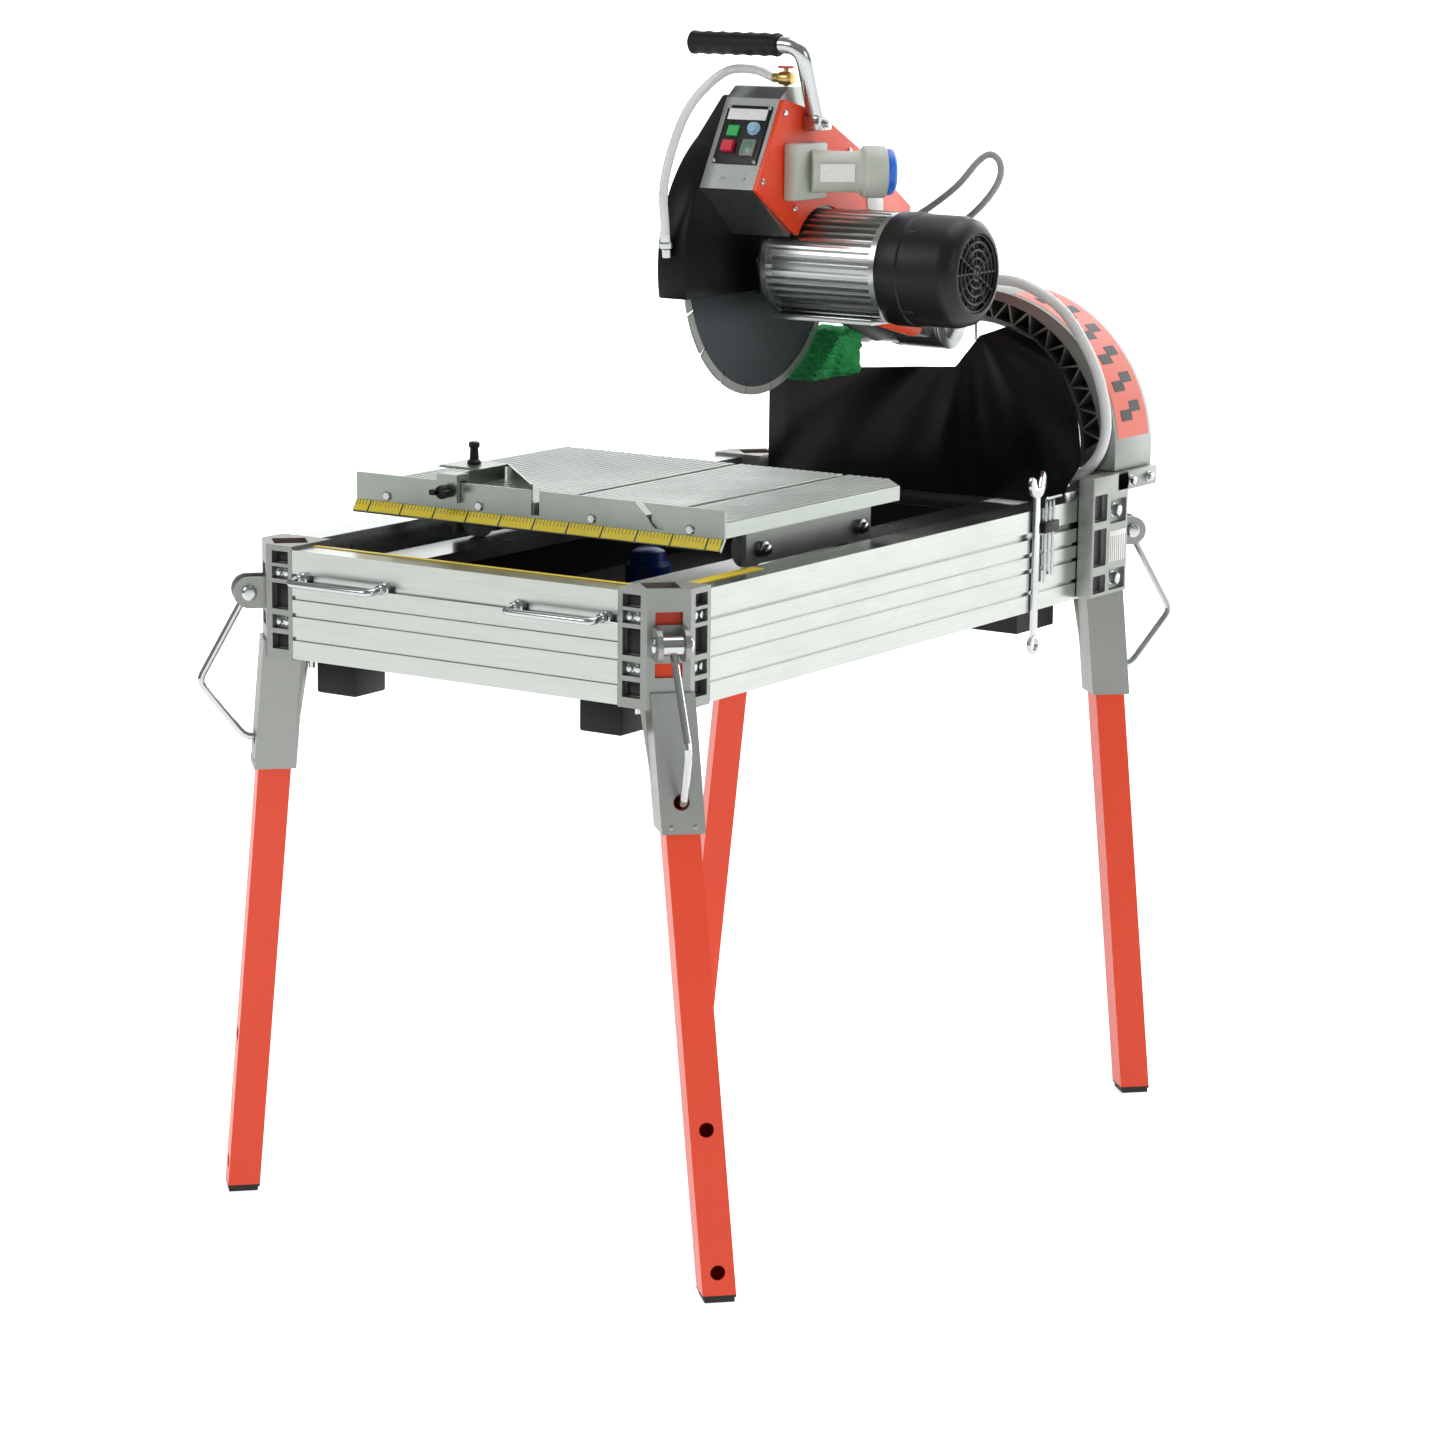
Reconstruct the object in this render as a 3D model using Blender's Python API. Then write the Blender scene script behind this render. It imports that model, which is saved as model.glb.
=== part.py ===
"""A wet masonry saw on a stand: four telescopic legs, a frame of extruded rails with cast corners,
a rolling cutting table, and a saw head that hangs on an arched arm and tilts, plunges and spins.

Metres, +Z up, +Y away from the operator, +X to the operator's right. The object stands on Z = 0 and is
centred on X = 0, Y = 0 by the last function. Lengths below are measured from the blade's plane (X = 0) and
from the middle of the leg pattern (Y = 0).
"""

import math

import bmesh
import bpy
from mathutils import Matrix, Vector

GAP = 0.0004  # between neighbours that touch

# Frame of four rails
FRAME_W = 0.630
FRAME_L = 1.116
FRAME_TOP = 0.832
RAIL_H = 0.133
RAIL_T = 0.044
GROOVE_DROPS = (0.058, 0.079, 0.108)
GROOVE_W = 0.005
GROOVE_D = 0.0035
SLOT_DROP = 0.033
SLOT_W = 0.009
SLOT_D = 0.006

# Cast corners with their leg sockets
CORNER_REACH = 0.076
CHAMFER = 0.036
CORNER_RISE = 0.004
SOCKET_Z = 0.554
SOCKET_WALL = 0.0052
LOCK_HOLE_R = 0.0095
LOCK_HOLE_Z = 0.591
EAR_T = 0.006
EAR_GAP = 0.026
EAR_H = 0.038

# Legs
TUBE = 0.040
TUBE_WALL = 0.0025
TUBE_CLEAR = 0.0006
FOOT_OUT = 0.025  # from the frame's side to the near face of the leg tube, at the floor
FOOT_IN = 0.037  # from the frame's end to the leg's centre line
FOOT_X = FRAME_W / 2 + FOOT_OUT + TUBE / 2
FOOT_Y = FRAME_L / 2 - FOOT_IN
LEAN = 0.1054  # run over rise, towards the middle
LEG_TOP = 0.818
LEG_HOLES = (0.036, 0.206)
LEG_HOLE_R = 0.009
FOOT_CAP = 0.006

# Locking levers
PIVOT_OUT = 0.020
PIVOT_LEVER_Z = 0.775
PIN_R = 0.004
BARREL_R = 0.0115
LEVER_ROD_R = 0.0045
ELBOW_OUT = 0.060
ELBOW_DROP = 0.112
PIN_REACH = 0.0035

# Water tank, its tracks, pump and rest blocks
TANK_CLEAR = 0.0008
TANK_END = 0.035
TANK_W = FRAME_W - 2 * (RAIL_T + TANK_CLEAR)
TANK_L = FRAME_L - 2 * (RAIL_T + TANK_END)
TANK_FLOOR = 0.712
TANK_TOP = 0.790
TANK_WALL = 0.004
TRACK_IN = 0.150
TRACK_OUT = 0.215
TRACK_T = 0.016
PUMP_R = 0.030
PUMP_H = 0.062
BLOCK_X = (0.165, 0.225)
BLOCK_Y = (0.028 - FRAME_L / 2, 0.088 - FRAME_L / 2)
BLOCK_H = 0.044

# Carry handles
HANDLE_X = (0.098, 0.222)
HANDLE_OUT = 0.030
HANDLE_R = 0.0045

# Cutting table
TABLE_TOP = 0.891
TABLE_T = 0.018
TABLE_W = 0.545
TABLE_FRONT = -0.386
TABLE_L = 0.443
CUT_GAP = 0.008
TILT_CUT_X = 0.163
BAR_DEPTH = 0.030
BAR_H = 0.019
BAR_W = 0.460
ROLLER_R = 0.025
ROLLER_W = 0.021
ROLLER_Y = (-0.230, -0.004)
AXLE_R = 0.004
PLATE_X = 0.2145
PLATE_T = 0.006
PLATE_Y = (-0.262, 0.026)
PLATE_Z = 0.819

# Fence and its sliding stop
FENCE_T = 0.003
FENCE_RISE = 0.015
FENCE_DROP = 0.034
NOTCH_W = 0.012
STOP_X = (-0.142, -0.112)
SQUARE_T = 0.003
SQUARE_H = 0.019

# Saw head
BLADE_R = 0.175
BLADE_T = 0.0032
BLADE_Y = 0.1006
BLADE_Z = 1.152
BLADE_BORE_R = 0.0127
SHAFT_R = 0.012
FLANGE_R = 0.045
FLANGE_T = 0.006
PIVOT_Y = 0.427
PIVOT_Z = 1.055
HUB_R = 0.040
HUB_IN = 0.0305
HUB_RIGHT = 0.098
HUB_LEFT = 0.050
BARREL_HUB_R = 0.036
AXLE_HEAD_R = 0.010
INNER_PLATE = (0.036, 0.0448)
OUTER_PLATE = (0.092, 0.098)
MOTOR_R = 0.070
MOTOR_X = (0.0452, 0.215)
FAN_R = 0.072
FAN_END = 0.325
GUARD_X = (-0.030, 0.012)
GUARD_WALL = 0.003
GUARD_CLEAR = 0.015
GUARD_R = BLADE_R + GUARD_CLEAR
GUARD_CUT_Z = 1.113
PANEL_LOW = (-0.058, 1.252)
PANEL_HIGH = (0.002, 1.362)
BOX_TOP = 1.376
BUTTON_W = 0.016
BUTTON_L = 0.014
BUTTON_TRAVEL = 0.003
GRIP_X = (-0.055, 0.078)
GRIP_Z = 1.428

# Arm
ARCH_Y = (0.475, 0.580)
ARCH_IN = (0.108, 0.885, 0.168)  # x, z and radius of the inner arc
ARCH_OUT = (0.118, 0.883, 0.211)
BOSS_R = 0.045
FLANGE_DEPTH = 0.0070
BASE_SIDE_X = (FRAME_W / 2 + GAP, FRAME_W / 2 + 0.023)
BASE_SIDE_Y = (0.400, 0.500)
FOOT_BLOCK_Z = 0.862
FOOT_BLOCK_Y = 0.468
CURTAIN_FOOT = 0.816

PAINT = {
    "orange_paint": ((0.72, 0.06, 0.015), 0.38, 0.0),
    "cast_aluminium": ((0.42, 0.43, 0.42), 0.55, 0.9),
    "extruded_aluminium": ((0.75, 0.77, 0.76), 0.32, 0.95),
    "table_aluminium": ((0.70, 0.72, 0.71), 0.36, 0.95),
    "zinc": ((0.66, 0.68, 0.70), 0.25, 1.0),
    "black_plastic": ((0.012, 0.013, 0.014), 0.5, 0.0),
    "black_rubber": ((0.015, 0.015, 0.016), 0.7, 0.0),
    "curtain_rubber": ((0.012, 0.013, 0.013), 0.35, 0.0),
    "guard_black": ((0.014, 0.015, 0.016), 0.45, 0.0),
    "blade_steel": ((0.10, 0.11, 0.12), 0.5, 0.8),
    "motor_aluminium": ((0.60, 0.62, 0.62), 0.35, 0.95),
    "pump_blue": ((0.03, 0.10, 0.45), 0.4, 0.0),
    "inlet_grey": ((0.50, 0.53, 0.48), 0.5, 0.0),
    "clear_hose": ((0.75, 0.78, 0.76), 0.25, 0.0),
    "brush_green": ((0.04, 0.42, 0.10), 0.8, 0.0),
    "button_green": ((0.03, 0.45, 0.10), 0.4, 0.0),
    "button_red": ((0.60, 0.03, 0.06), 0.4, 0.0),
}


def clear_scene():
    for obj in list(bpy.data.objects):
        bpy.data.objects.remove(obj, do_unlink=True)


def material(name):
    found = bpy.data.materials.get(name)
    if found:
        return found
    colour, roughness, metallic = PAINT[name]
    made = bpy.data.materials.new(name)
    made.use_nodes = True
    shader = made.node_tree.nodes["Principled BSDF"]
    shader.inputs["Base Color"].default_value = (*colour, 1)
    shader.inputs["Roughness"].default_value = roughness
    shader.inputs["Metallic"].default_value = metallic
    return made


def object_from(name, mesh_edit, paint):
    mesh = bpy.data.meshes.new(name)
    bm = bmesh.new()
    mesh_edit(bm)
    bmesh.ops.recalc_face_normals(bm, faces=bm.faces)
    bm.to_mesh(mesh)
    bm.free()
    obj = bpy.data.objects.new(name, mesh)
    bpy.context.collection.objects.link(obj)
    if paint:
        mesh.materials.append(material(paint))
    return obj


def add_loft(bm, low, high):
    """A closed solid between two rings of as many points."""
    a = [bm.verts.new(p) for p in low]
    b = [bm.verts.new(p) for p in high]
    bm.faces.new(a)
    bm.faces.new(list(reversed(b)))
    for i in range(len(a)):
        j = (i + 1) % len(a)
        bm.faces.new((a[i], b[i], b[j], a[j]))


def loft(name, low, high, paint=None):
    return object_from(name, lambda bm: add_loft(bm, low, high), paint)


def ring(axis, at, outline):
    """The outline's points in the plane at `at` along an axis."""
    place = {
        "X": lambda u, v: (at, u, v),
        "Y": lambda u, v: (u, at, v),
        "Z": lambda u, v: (u, v, at),
    }[axis]
    return [place(u, v) for u, v in outline]


def prism(name, axis, lo, hi, outline, paint=None):
    return loft(name, ring(axis, lo, outline), ring(axis, hi, outline), paint)


def rectangle(u, v):
    return [(u[0], v[0]), (u[1], v[0]), (u[1], v[1]), (u[0], v[1])]


def box(name, x, y, z, paint=None):
    return prism(name, "Z", z[0], z[1], rectangle(x, y), paint)


def circle(u, v, radius, sides=32, start=0.0, end=2 * math.pi):
    turn = end - start
    steps = sides if abs(turn - 2 * math.pi) < 1e-6 else sides + 1
    return [
        (u + radius * math.cos(start + turn * i / sides), v + radius * math.sin(start + turn * i / sides))
        for i in range(steps)
    ]


def rod(name, a, b, radius, paint=None, sides=24):
    """A cylinder from point a to point b."""
    a, b = Vector(a), Vector(b)
    turn = Vector((0, 0, 1)).rotation_difference(b - a).to_matrix()
    low = [a + turn @ Vector((u, v, 0)) for u, v in circle(0, 0, radius, sides)]
    return loft(name, low, [p + (b - a) for p in low], paint)


def smooth_path(points, per_span=5):
    """Points of a Catmull-Rom curve through the given ones."""
    pts = [Vector(p) for p in points]
    pts = [2 * pts[0] - pts[1], *pts, 2 * pts[-1] - pts[-2]]
    out = []
    for i in range(1, len(pts) - 2):
        p0, p1, p2, p3 = pts[i - 1 : i + 3]
        for k in range(per_span):
            t = k / per_span
            out.append(
                0.5 * (2 * p1 + (p2 - p0) * t + (2 * p0 - 5 * p1 + 4 * p2 - p3) * t**2
                       + (3 * p1 - p0 - 3 * p2 + p3) * t**3)
            )
    out.append(pts[-2])
    return out


def rounded(points, radius, steps=3):
    """A polyline whose inner corners are rounded by short arcs."""
    pts = [Vector(p) for p in points]
    out = [pts[0]]
    for before, at, after in zip(pts, pts[1:], pts[2:]):
        a = at + (before - at).normalized() * radius
        b = at + (after - at).normalized() * radius
        for k in range(steps + 1):
            t = k / steps
            out.append((1 - t) ** 2 * a + 2 * t * (1 - t) * at + t**2 * b)
    out.append(pts[-1])
    return out


def sweep(name, path, radius, paint=None, sides=10):
    """A round tube along a path, closed at both ends."""

    def make(bm):
        along = (path[1] - path[0]).normalized()
        side = along.orthogonal().normalized()
        rings = []
        for i, point in enumerate(path):
            before = path[max(i - 1, 0)]
            after = path[min(i + 1, len(path) - 1)]
            new = (after - before).normalized()
            side = (along.rotation_difference(new) @ side).normalized()
            along = new
            up = along.cross(side)
            rings.append([
                bm.verts.new(point + side * u + up * v) for u, v in circle(0, 0, radius, sides)
            ])
        for a, b in zip(rings, rings[1:]):
            for i in range(sides):
                j = (i + 1) % sides
                bm.faces.new((a[i], a[j], b[j], b[i]))
        bm.faces.new(rings[0])
        bm.faces.new(rings[-1])

    return object_from(name, make, paint)


def combine(obj, others, operation):
    for other in others:
        other.hide_render = True
        other.display_type = "WIRE"
        modifier = obj.modifiers.new(f"{operation.lower()}_{other.name}", "BOOLEAN")
        modifier.operation = operation
        modifier.object = other
        modifier.solver = "EXACT"
    return obj


def cut(obj, *cutters):
    return combine(obj, cutters, "DIFFERENCE")


def join(obj, *others):
    return combine(obj, others, "UNION")


def boxes_cutter(name, boxes):
    """Several separate boxes as one cutter."""

    def make(bm):
        for x, y, z in boxes:
            add_loft(bm, ring("Z", z[0], rectangle(x, y)), ring("Z", z[1], rectangle(x, y)))

    return object_from(name, make, None)


def mirrored(obj, side_x, side_y):
    """Puts a piece that was made at +X, +Y into another corner."""
    obj.data.transform(Matrix.Diagonal((side_x, side_y, 1, 1)))
    if side_x * side_y < 0:
        obj.data.flip_normals()
    return obj


# Frame


def rail_outline():
    """Depth and height of an extruded rail's section, with its grooves and its T-slot."""
    bottom = FRAME_TOP - RAIL_H
    outline = [(0, bottom), (0, bottom)]
    for drop, width, depth in sorted(
        [(d, GROOVE_W, GROOVE_D) for d in GROOVE_DROPS] + [(SLOT_DROP, SLOT_W, SLOT_D)], reverse=True
    ):
        middle = FRAME_TOP - drop
        outline += [(0, middle - width / 2), (depth, middle - width / 2)]
        outline += [(depth, middle + width / 2), (0, middle + width / 2)]
    return outline[1:] + [(0, FRAME_TOP), (RAIL_T, FRAME_TOP), (RAIL_T, bottom)]


def make_rails():
    run_x = FRAME_W / 2 - CORNER_REACH - GAP
    run_y = FRAME_L / 2 - CORNER_REACH - GAP
    for name, side in (("front_rail", -1), ("rear_rail", 1)):
        outline = [(side * (FRAME_L / 2 - d), z) for d, z in rail_outline()]
        prism(name, "X", -run_x, run_x, outline, "extruded_aluminium")
    for name, side in (("left_rail", -1), ("right_rail", 1)):
        outline = [(side * (FRAME_W / 2 - d), z) for d, z in rail_outline()]
        prism(name, "Y", -run_y, run_y, outline, "extruded_aluminium")


def leg_axis(z):
    return Vector((FOOT_X - LEAN * z, FOOT_Y, z))


def diamond(z, side):
    """The square section, turned 45 degrees, of something round a leg at a height."""
    half = side / math.sqrt(2)
    middle = leg_axis(z)
    return [middle + Vector(p) for p in ((-half, 0, 0), (0, -half, 0), (half, 0, 0), (0, half, 0))]


OUT = Vector((1, 1, 0)).normalized()
ALONG = Vector((-1, 1, 0)).normalized()


def turned_box(name, middle, out, along, z, paint=None):
    """A box whose sides run outwards and along the chamfer of the +X, +Y corner."""
    spots = [middle + OUT * o + ALONG * a for o, a in rectangle(out, along)]
    low = [(p.x, p.y, z[0]) for p in spots]
    high = [(p.x, p.y, z[1]) for p in spots]
    return loft(name, low, high, paint)


def chamfer_middle():
    return Vector((FRAME_W / 2 - CHAMFER / 2, FRAME_L / 2 - CHAMFER / 2, 0))


def ear(name, middle, span):
    """One of a lever's two round-ended ears, standing out of the chamfer."""
    half = EAR_H / 2
    outline = [(-0.012, PIVOT_LEVER_Z + half), (-0.012, PIVOT_LEVER_Z - half)]
    outline += circle(PIVOT_OUT, PIVOT_LEVER_Z, half, 12, -math.pi / 2, math.pi / 2)
    low, high = ([middle + OUT * o + ALONG * at + Vector((0, 0, z)) for o, z in outline] for at in span)
    return loft(name, low, high)


def make_corner(name, side_x, side_y):
    w, l = FRAME_W / 2, FRAME_L / 2
    top = FRAME_TOP + CORNER_RISE
    bottom = FRAME_TOP - RAIL_H - CORNER_RISE / 2
    outline = [
        (w - CORNER_REACH, l - CORNER_REACH), (w, l - CORNER_REACH), (w, l - CHAMFER),
        (w - CHAMFER, l), (w - CORNER_REACH, l),
    ]
    corner = prism(name, "Z", bottom, top, outline, "cast_aluminium")
    socket_side = TUBE + 2 * (TUBE_CLEAR + SOCKET_WALL)
    socket = loft(f"{name}_socket", diamond(SOCKET_Z, socket_side), diamond(bottom + 0.02, socket_side))
    web_out = 0.020
    web_low = Vector((leg_axis(SOCKET_Z + 0.03).x - socket_side * 0.6, FOOT_Y, SOCKET_Z + 0.03))
    web = prism(
        f"{name}_web", "Y", FOOT_Y - 0.003, FOOT_Y + 0.003,
        [
            (web_low.x, web_low.z), (leg_axis(SOCKET_Z).x, SOCKET_Z + 0.03),
            (leg_axis(bottom).x, bottom + 0.02), (w - CORNER_REACH - web_out + 0.022, bottom + 0.02),
        ],
    )
    middle = chamfer_middle()
    ears = []
    for k, side in (("a", -1), ("b", 1)):
        span = sorted((side * EAR_GAP / 2, side * (EAR_GAP / 2 + EAR_T)))
        ears.append(ear(f"{name}_ear_{k}", middle, span))
    join(corner, socket, web, *ears)
    bore_side = TUBE + 2 * TUBE_CLEAR
    bore = loft(f"{name}_bore", diamond(SOCKET_Z - 0.03, bore_side), diamond(top + 0.03, bore_side))
    rows = ((-0.018, -0.003), (-0.037, -0.022), (-0.074, -0.042), (-0.098, -0.081), (-0.123, -0.104))
    depth = 0.009
    u = (0.045, 0.070)
    pockets = []
    for low, high in rows:
        heights = (FRAME_TOP + low, FRAME_TOP + high)
        pockets.append(((w - u[1], w - u[0]), (l - depth, l + 0.01), heights))
        pockets.append(((w - depth, w + 0.01), (l - u[1], l - u[0]), heights))
    slits = []
    for k in (1, 3):
        heights = (FRAME_TOP + rows[k][0], FRAME_TOP + rows[k][1])
        slits.append(turned_box(f"{name}_slit_{k}", middle, (-0.014, 0.010), (-0.016, 0.016), heights))
    pivot = middle + OUT * PIVOT_OUT + Vector((0, 0, PIVOT_LEVER_Z))
    pin_hole = rod(f"{name}_pin_hole", pivot - ALONG * 0.05, pivot + ALONG * 0.05, PIN_R + GAP, None, 16)
    centre = leg_axis(LOCK_HOLE_Z)
    lock_hole = rod(f"{name}_lock_hole", centre, centre + OUT * 0.05, LOCK_HOLE_R, None, 20)
    cutters = [bore, boxes_cutter(f"{name}_pockets", pockets), *slits, pin_hole, lock_hole]
    cut(corner, *cutters)
    for obj in (corner, socket, web, *ears, *cutters):
        mirrored(obj, side_x, side_y)


def make_leg(name, side_x, side_y):
    leg = loft(name, diamond(FOOT_CAP, TUBE), diamond(LEG_TOP, TUBE), "orange_paint")
    inner = TUBE - 2 * TUBE_WALL
    hollow = loft(f"{name}_hollow", diamond(FOOT_CAP * 2, inner), diamond(LEG_TOP + 0.01, inner))
    foot = loft(f"{name}_foot", diamond(0, TUBE - 0.004), diamond(FOOT_CAP * 1.5, TUBE - 0.0035))
    holes = []
    for z in LEG_HOLES:
        start = leg_axis(z)
        holes.append(rod(f"{name}_hole_{int(z * 1000)}", start, start + OUT * 0.05, LEG_HOLE_R, None, 20))
    lock = leg_axis(LOCK_HOLE_Z)
    holes.append(rod(f"{name}_hole_lock", lock, lock + OUT * 0.05, LEG_HOLE_R, None, 20))
    join(leg, foot)
    cut(leg, hollow, *holes)
    for obj in (leg, hollow, foot, *holes):
        mirrored(obj, side_x, side_y)


def make_lever(name, side_x, side_y):
    pivot = chamfer_middle() + OUT * PIVOT_OUT + Vector((0, 0, PIVOT_LEVER_Z))
    half = EAR_GAP / 2 - GAP
    barrel = rod(name, pivot - ALONG * half, pivot + ALONG * half, BARREL_R, "zinc")
    reach = EAR_GAP / 2 + EAR_T + 0.004
    pin = rod(f"{name}_pin", pivot - ALONG * reach, pivot + ALONG * reach, PIN_R, None, 16)
    socket_half = TUBE / 2 + TUBE_CLEAR + SOCKET_WALL
    centre = leg_axis(LOCK_HOLE_Z)
    tip = centre + OUT * (socket_half - PIN_REACH)
    before = centre + OUT * (socket_half + 0.012)
    aside = (before - pivot).dot(ALONG) * 0.6
    elbow = pivot + OUT * ELBOW_OUT + ALONG * aside - Vector((0, 0, ELBOW_DROP))
    path = rounded([pivot, elbow, before, tip], 0.010)
    arm = sweep(f"{name}_arm", path, LEVER_ROD_R)
    join(barrel, pin, arm)
    for obj in (barrel, pin, arm):
        mirrored(obj, side_x, side_y)


CORNERS = (
    ("front_left", -1, -1), ("front_right", 1, -1), ("rear_left", -1, 1), ("rear_right", 1, 1),
)


def make_tank():
    half_w, half_l = TANK_W / 2, TANK_L / 2
    tank = box("water_tank", (-half_w, half_w), (-half_l, half_l), (TANK_FLOOR, TANK_TOP), "black_plastic")
    inner_w, inner_l = half_w - TANK_WALL, half_l - TANK_WALL
    hollow = box(
        "tank_hollow", (-inner_w, inner_w), (-inner_l, inner_l), (TANK_FLOOR + TANK_WALL, TANK_TOP + 0.01)
    )
    cut(tank, hollow)
    box("tank_sump", (0.105, 0.250), (0.360, 0.460), (0.650, TANK_FLOOR - GAP), "black_plastic")
    run = FRAME_L / 2 - RAIL_T - GAP
    top = TABLE_TOP - TABLE_T - (TABLE_TOP - TABLE_T - axle_z()) - ROLLER_R - GAP
    for name, side in (("left_track", -1), ("right_track", 1)):
        x = sorted((side * TRACK_IN, side * TRACK_OUT))
        box(name, x, (-run, run), (top - TRACK_T, top), "extruded_aluminium")
    floor = TANK_FLOOR + TANK_WALL + GAP
    rod("water_pump", (-0.100, 0.0, floor), (-0.100, 0.0, floor + PUMP_H), PUMP_R, "pump_blue")
    rail_bottom = FRAME_TOP - RAIL_H
    for name, side in (("rest_block_left", -1), ("rest_block_right", 1)):
        x = sorted(side * v for v in BLOCK_X)
        box(name, x, BLOCK_Y, (rail_bottom - BLOCK_H, rail_bottom - GAP), "black_rubber")


def make_carry_handles():
    face = -FRAME_L / 2 - GAP
    z = FRAME_TOP - SLOT_DROP
    for name, side in (("carry_handle_left", -1), ("carry_handle_right", 1)):
        a, b = sorted(side * v for v in HANDLE_X)
        out = face - HANDLE_OUT
        path = rounded([(a, face, z), (a, out, z), (b, out, z), (b, face, z)], 0.012)
        sweep(name, path, HANDLE_R, "zinc")


# Table


def axle_z():
    return PLATE_Z + 0.018


def make_table():
    half = TABLE_W / 2
    y = (TABLE_FRONT, TABLE_FRONT + TABLE_L)
    z = (TABLE_TOP - TABLE_T, TABLE_TOP)
    gap = CUT_GAP / 2
    for name, x in (
        ("table_plank_left", (-half, -gap)),
        ("table_plank_middle", (gap, TILT_CUT_X - gap)),
        ("table_plank_right", (TILT_CUT_X + gap, half)),
    ):
        box(name, x, y, z, "table_aluminium")
    under = z[0] - GAP
    front = TABLE_FRONT + 0.011
    bar = box(
        "table_crossbar", (-BAR_W / 2, BAR_W / 2), (front, front + BAR_DEPTH), (under - BAR_H, under),
        "cast_aluminium",
    )
    bar.hide_render = False
    for name, side in (("carriage_left", -1), ("carriage_right", 1)):
        x = sorted((side * PLATE_X, side * (PLATE_X + PLATE_T)))
        plate = box(name, x, PLATE_Y, (PLATE_Z, under), "cast_aluminium")
        for k, axle_y in enumerate(ROLLER_Y):
            a = (side * (PLATE_X - ROLLER_W - 0.005), axle_y, axle_z())
            b = (side * (PLATE_X + PLATE_T + 0.007), axle_y, axle_z())
            head = (side * (PLATE_X + PLATE_T / 2), axle_y, axle_z())
            join(plate, rod(f"{name}_axle_{k}", a, b, AXLE_R, None, 16))
            join(plate, rod(f"{name}_head_{k}", head, b, AXLE_R * 2, None, 6))
    for name, side, axle_y in (
        ("roller_front_left", -1, ROLLER_Y[0]), ("roller_front_right", 1, ROLLER_Y[0]),
        ("roller_rear_left", -1, ROLLER_Y[1]), ("roller_rear_right", 1, ROLLER_Y[1]),
    ):
        a = (side * (PLATE_X - 0.0015), axle_y, axle_z())
        b = (side * (PLATE_X - 0.0015 - ROLLER_W), axle_y, axle_z())
        roller = rod(name, a, b, ROLLER_R, "black_plastic", 32)
        inside, outside = (0, axle_y, axle_z()), (side * 0.3, axle_y, axle_z())
        bore = rod(f"{name}_bore", inside, outside, AXLE_R + GAP, None, 16)
        cut(roller, bore)


def make_fence():
    back = TABLE_FRONT - GAP
    front = back - FENCE_T
    top = TABLE_TOP + FENCE_RISE
    foot = TABLE_TOP - FENCE_DROP
    outline = [
        (back, top), (front, top), (front, foot + 0.015), (front - 0.009, foot + 0.002),
        (front - 0.007, foot), (back, foot + 0.014),
    ]
    half = TABLE_W / 2
    fence = prism("fence", "X", -half, half, outline, "table_aluminium")
    floor = TABLE_TOP - 0.015
    notch = box("fence_notch", (-NOTCH_W / 2, NOTCH_W / 2), (front - 0.02, back + 0.02), (floor, top + 0.02))
    reach = PIVOT_Z - TABLE_TOP
    slant = [
        (reach - FENCE_RISE - 0.011, top + 0.004), (reach - FENCE_RISE + 0.003, top + 0.004),
        (reach + 0.024, floor), (reach + 0.010, floor),
    ]
    slot = prism("fence_tilt_slot", "Y", front - 0.02, back + 0.02, slant)
    cut(fence, notch, slot)
    low, high = TABLE_TOP - 0.010, top + 0.010
    over = top + GAP * 4
    inner = back + 0.008
    profile = [
        (front - 0.008, low), (front - GAP * 2, low), (front - GAP * 2, over), (inner, over),
        (inner, TABLE_TOP + GAP * 2), (inner + 0.006, TABLE_TOP + GAP * 2), (inner + 0.006, high),
        (front - 0.008, high),
    ]
    prism("fence_stop", "X", STOP_X[0], STOP_X[1], profile, "table_aluminium")
    knob = (sum(STOP_X) / 2, front - 0.008 - GAP, TABLE_TOP + 0.004)
    rod("stop_knob", knob, (knob[0], knob[1] - 0.020, knob[2]), 0.009, "black_plastic", 20)
    make_mitre_square(inner + 0.006 + GAP)


def make_mitre_square(front):
    """A guide with a straight wall and a 45 degree wall, held to the stop by a clamp plate."""
    z = (TABLE_TOP + GAP, TABLE_TOP + GAP + SQUARE_H)
    x = STOP_X[0] - 0.004
    depth = 0.120
    square = box("mitre_square", (x - SQUARE_T, x), (front, front + depth), z, "table_aluminium")
    start, reach = x + depth + 0.010, depth + 0.010
    thick = SQUARE_T * math.sqrt(2)
    wall = [
        (start, front), (start - thick, front), (x - SQUARE_T, front + reach - thick + SQUARE_T),
        (x - SQUARE_T, front + reach + SQUARE_T),
    ]
    slope = prism("square_slope", "Z", z[0], z[1], wall)
    plate = box("square_plate", (x - 0.065, x - 0.001), (front + 0.070, front + 0.132), (z[1] - 0.003, z[1]))
    base = box("square_base", (x - 0.001, STOP_X[1] - 0.004), (front, front + 0.020), (z[0], z[0] + 0.003))
    join(square, slope, plate, base)
    at = (x - 0.033, front + 0.100, z[1] + GAP)
    rod("mitre_knob", at, (at[0], at[1], at[2] + 0.028), 0.009, "black_plastic", 20)


# Saw head


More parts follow.
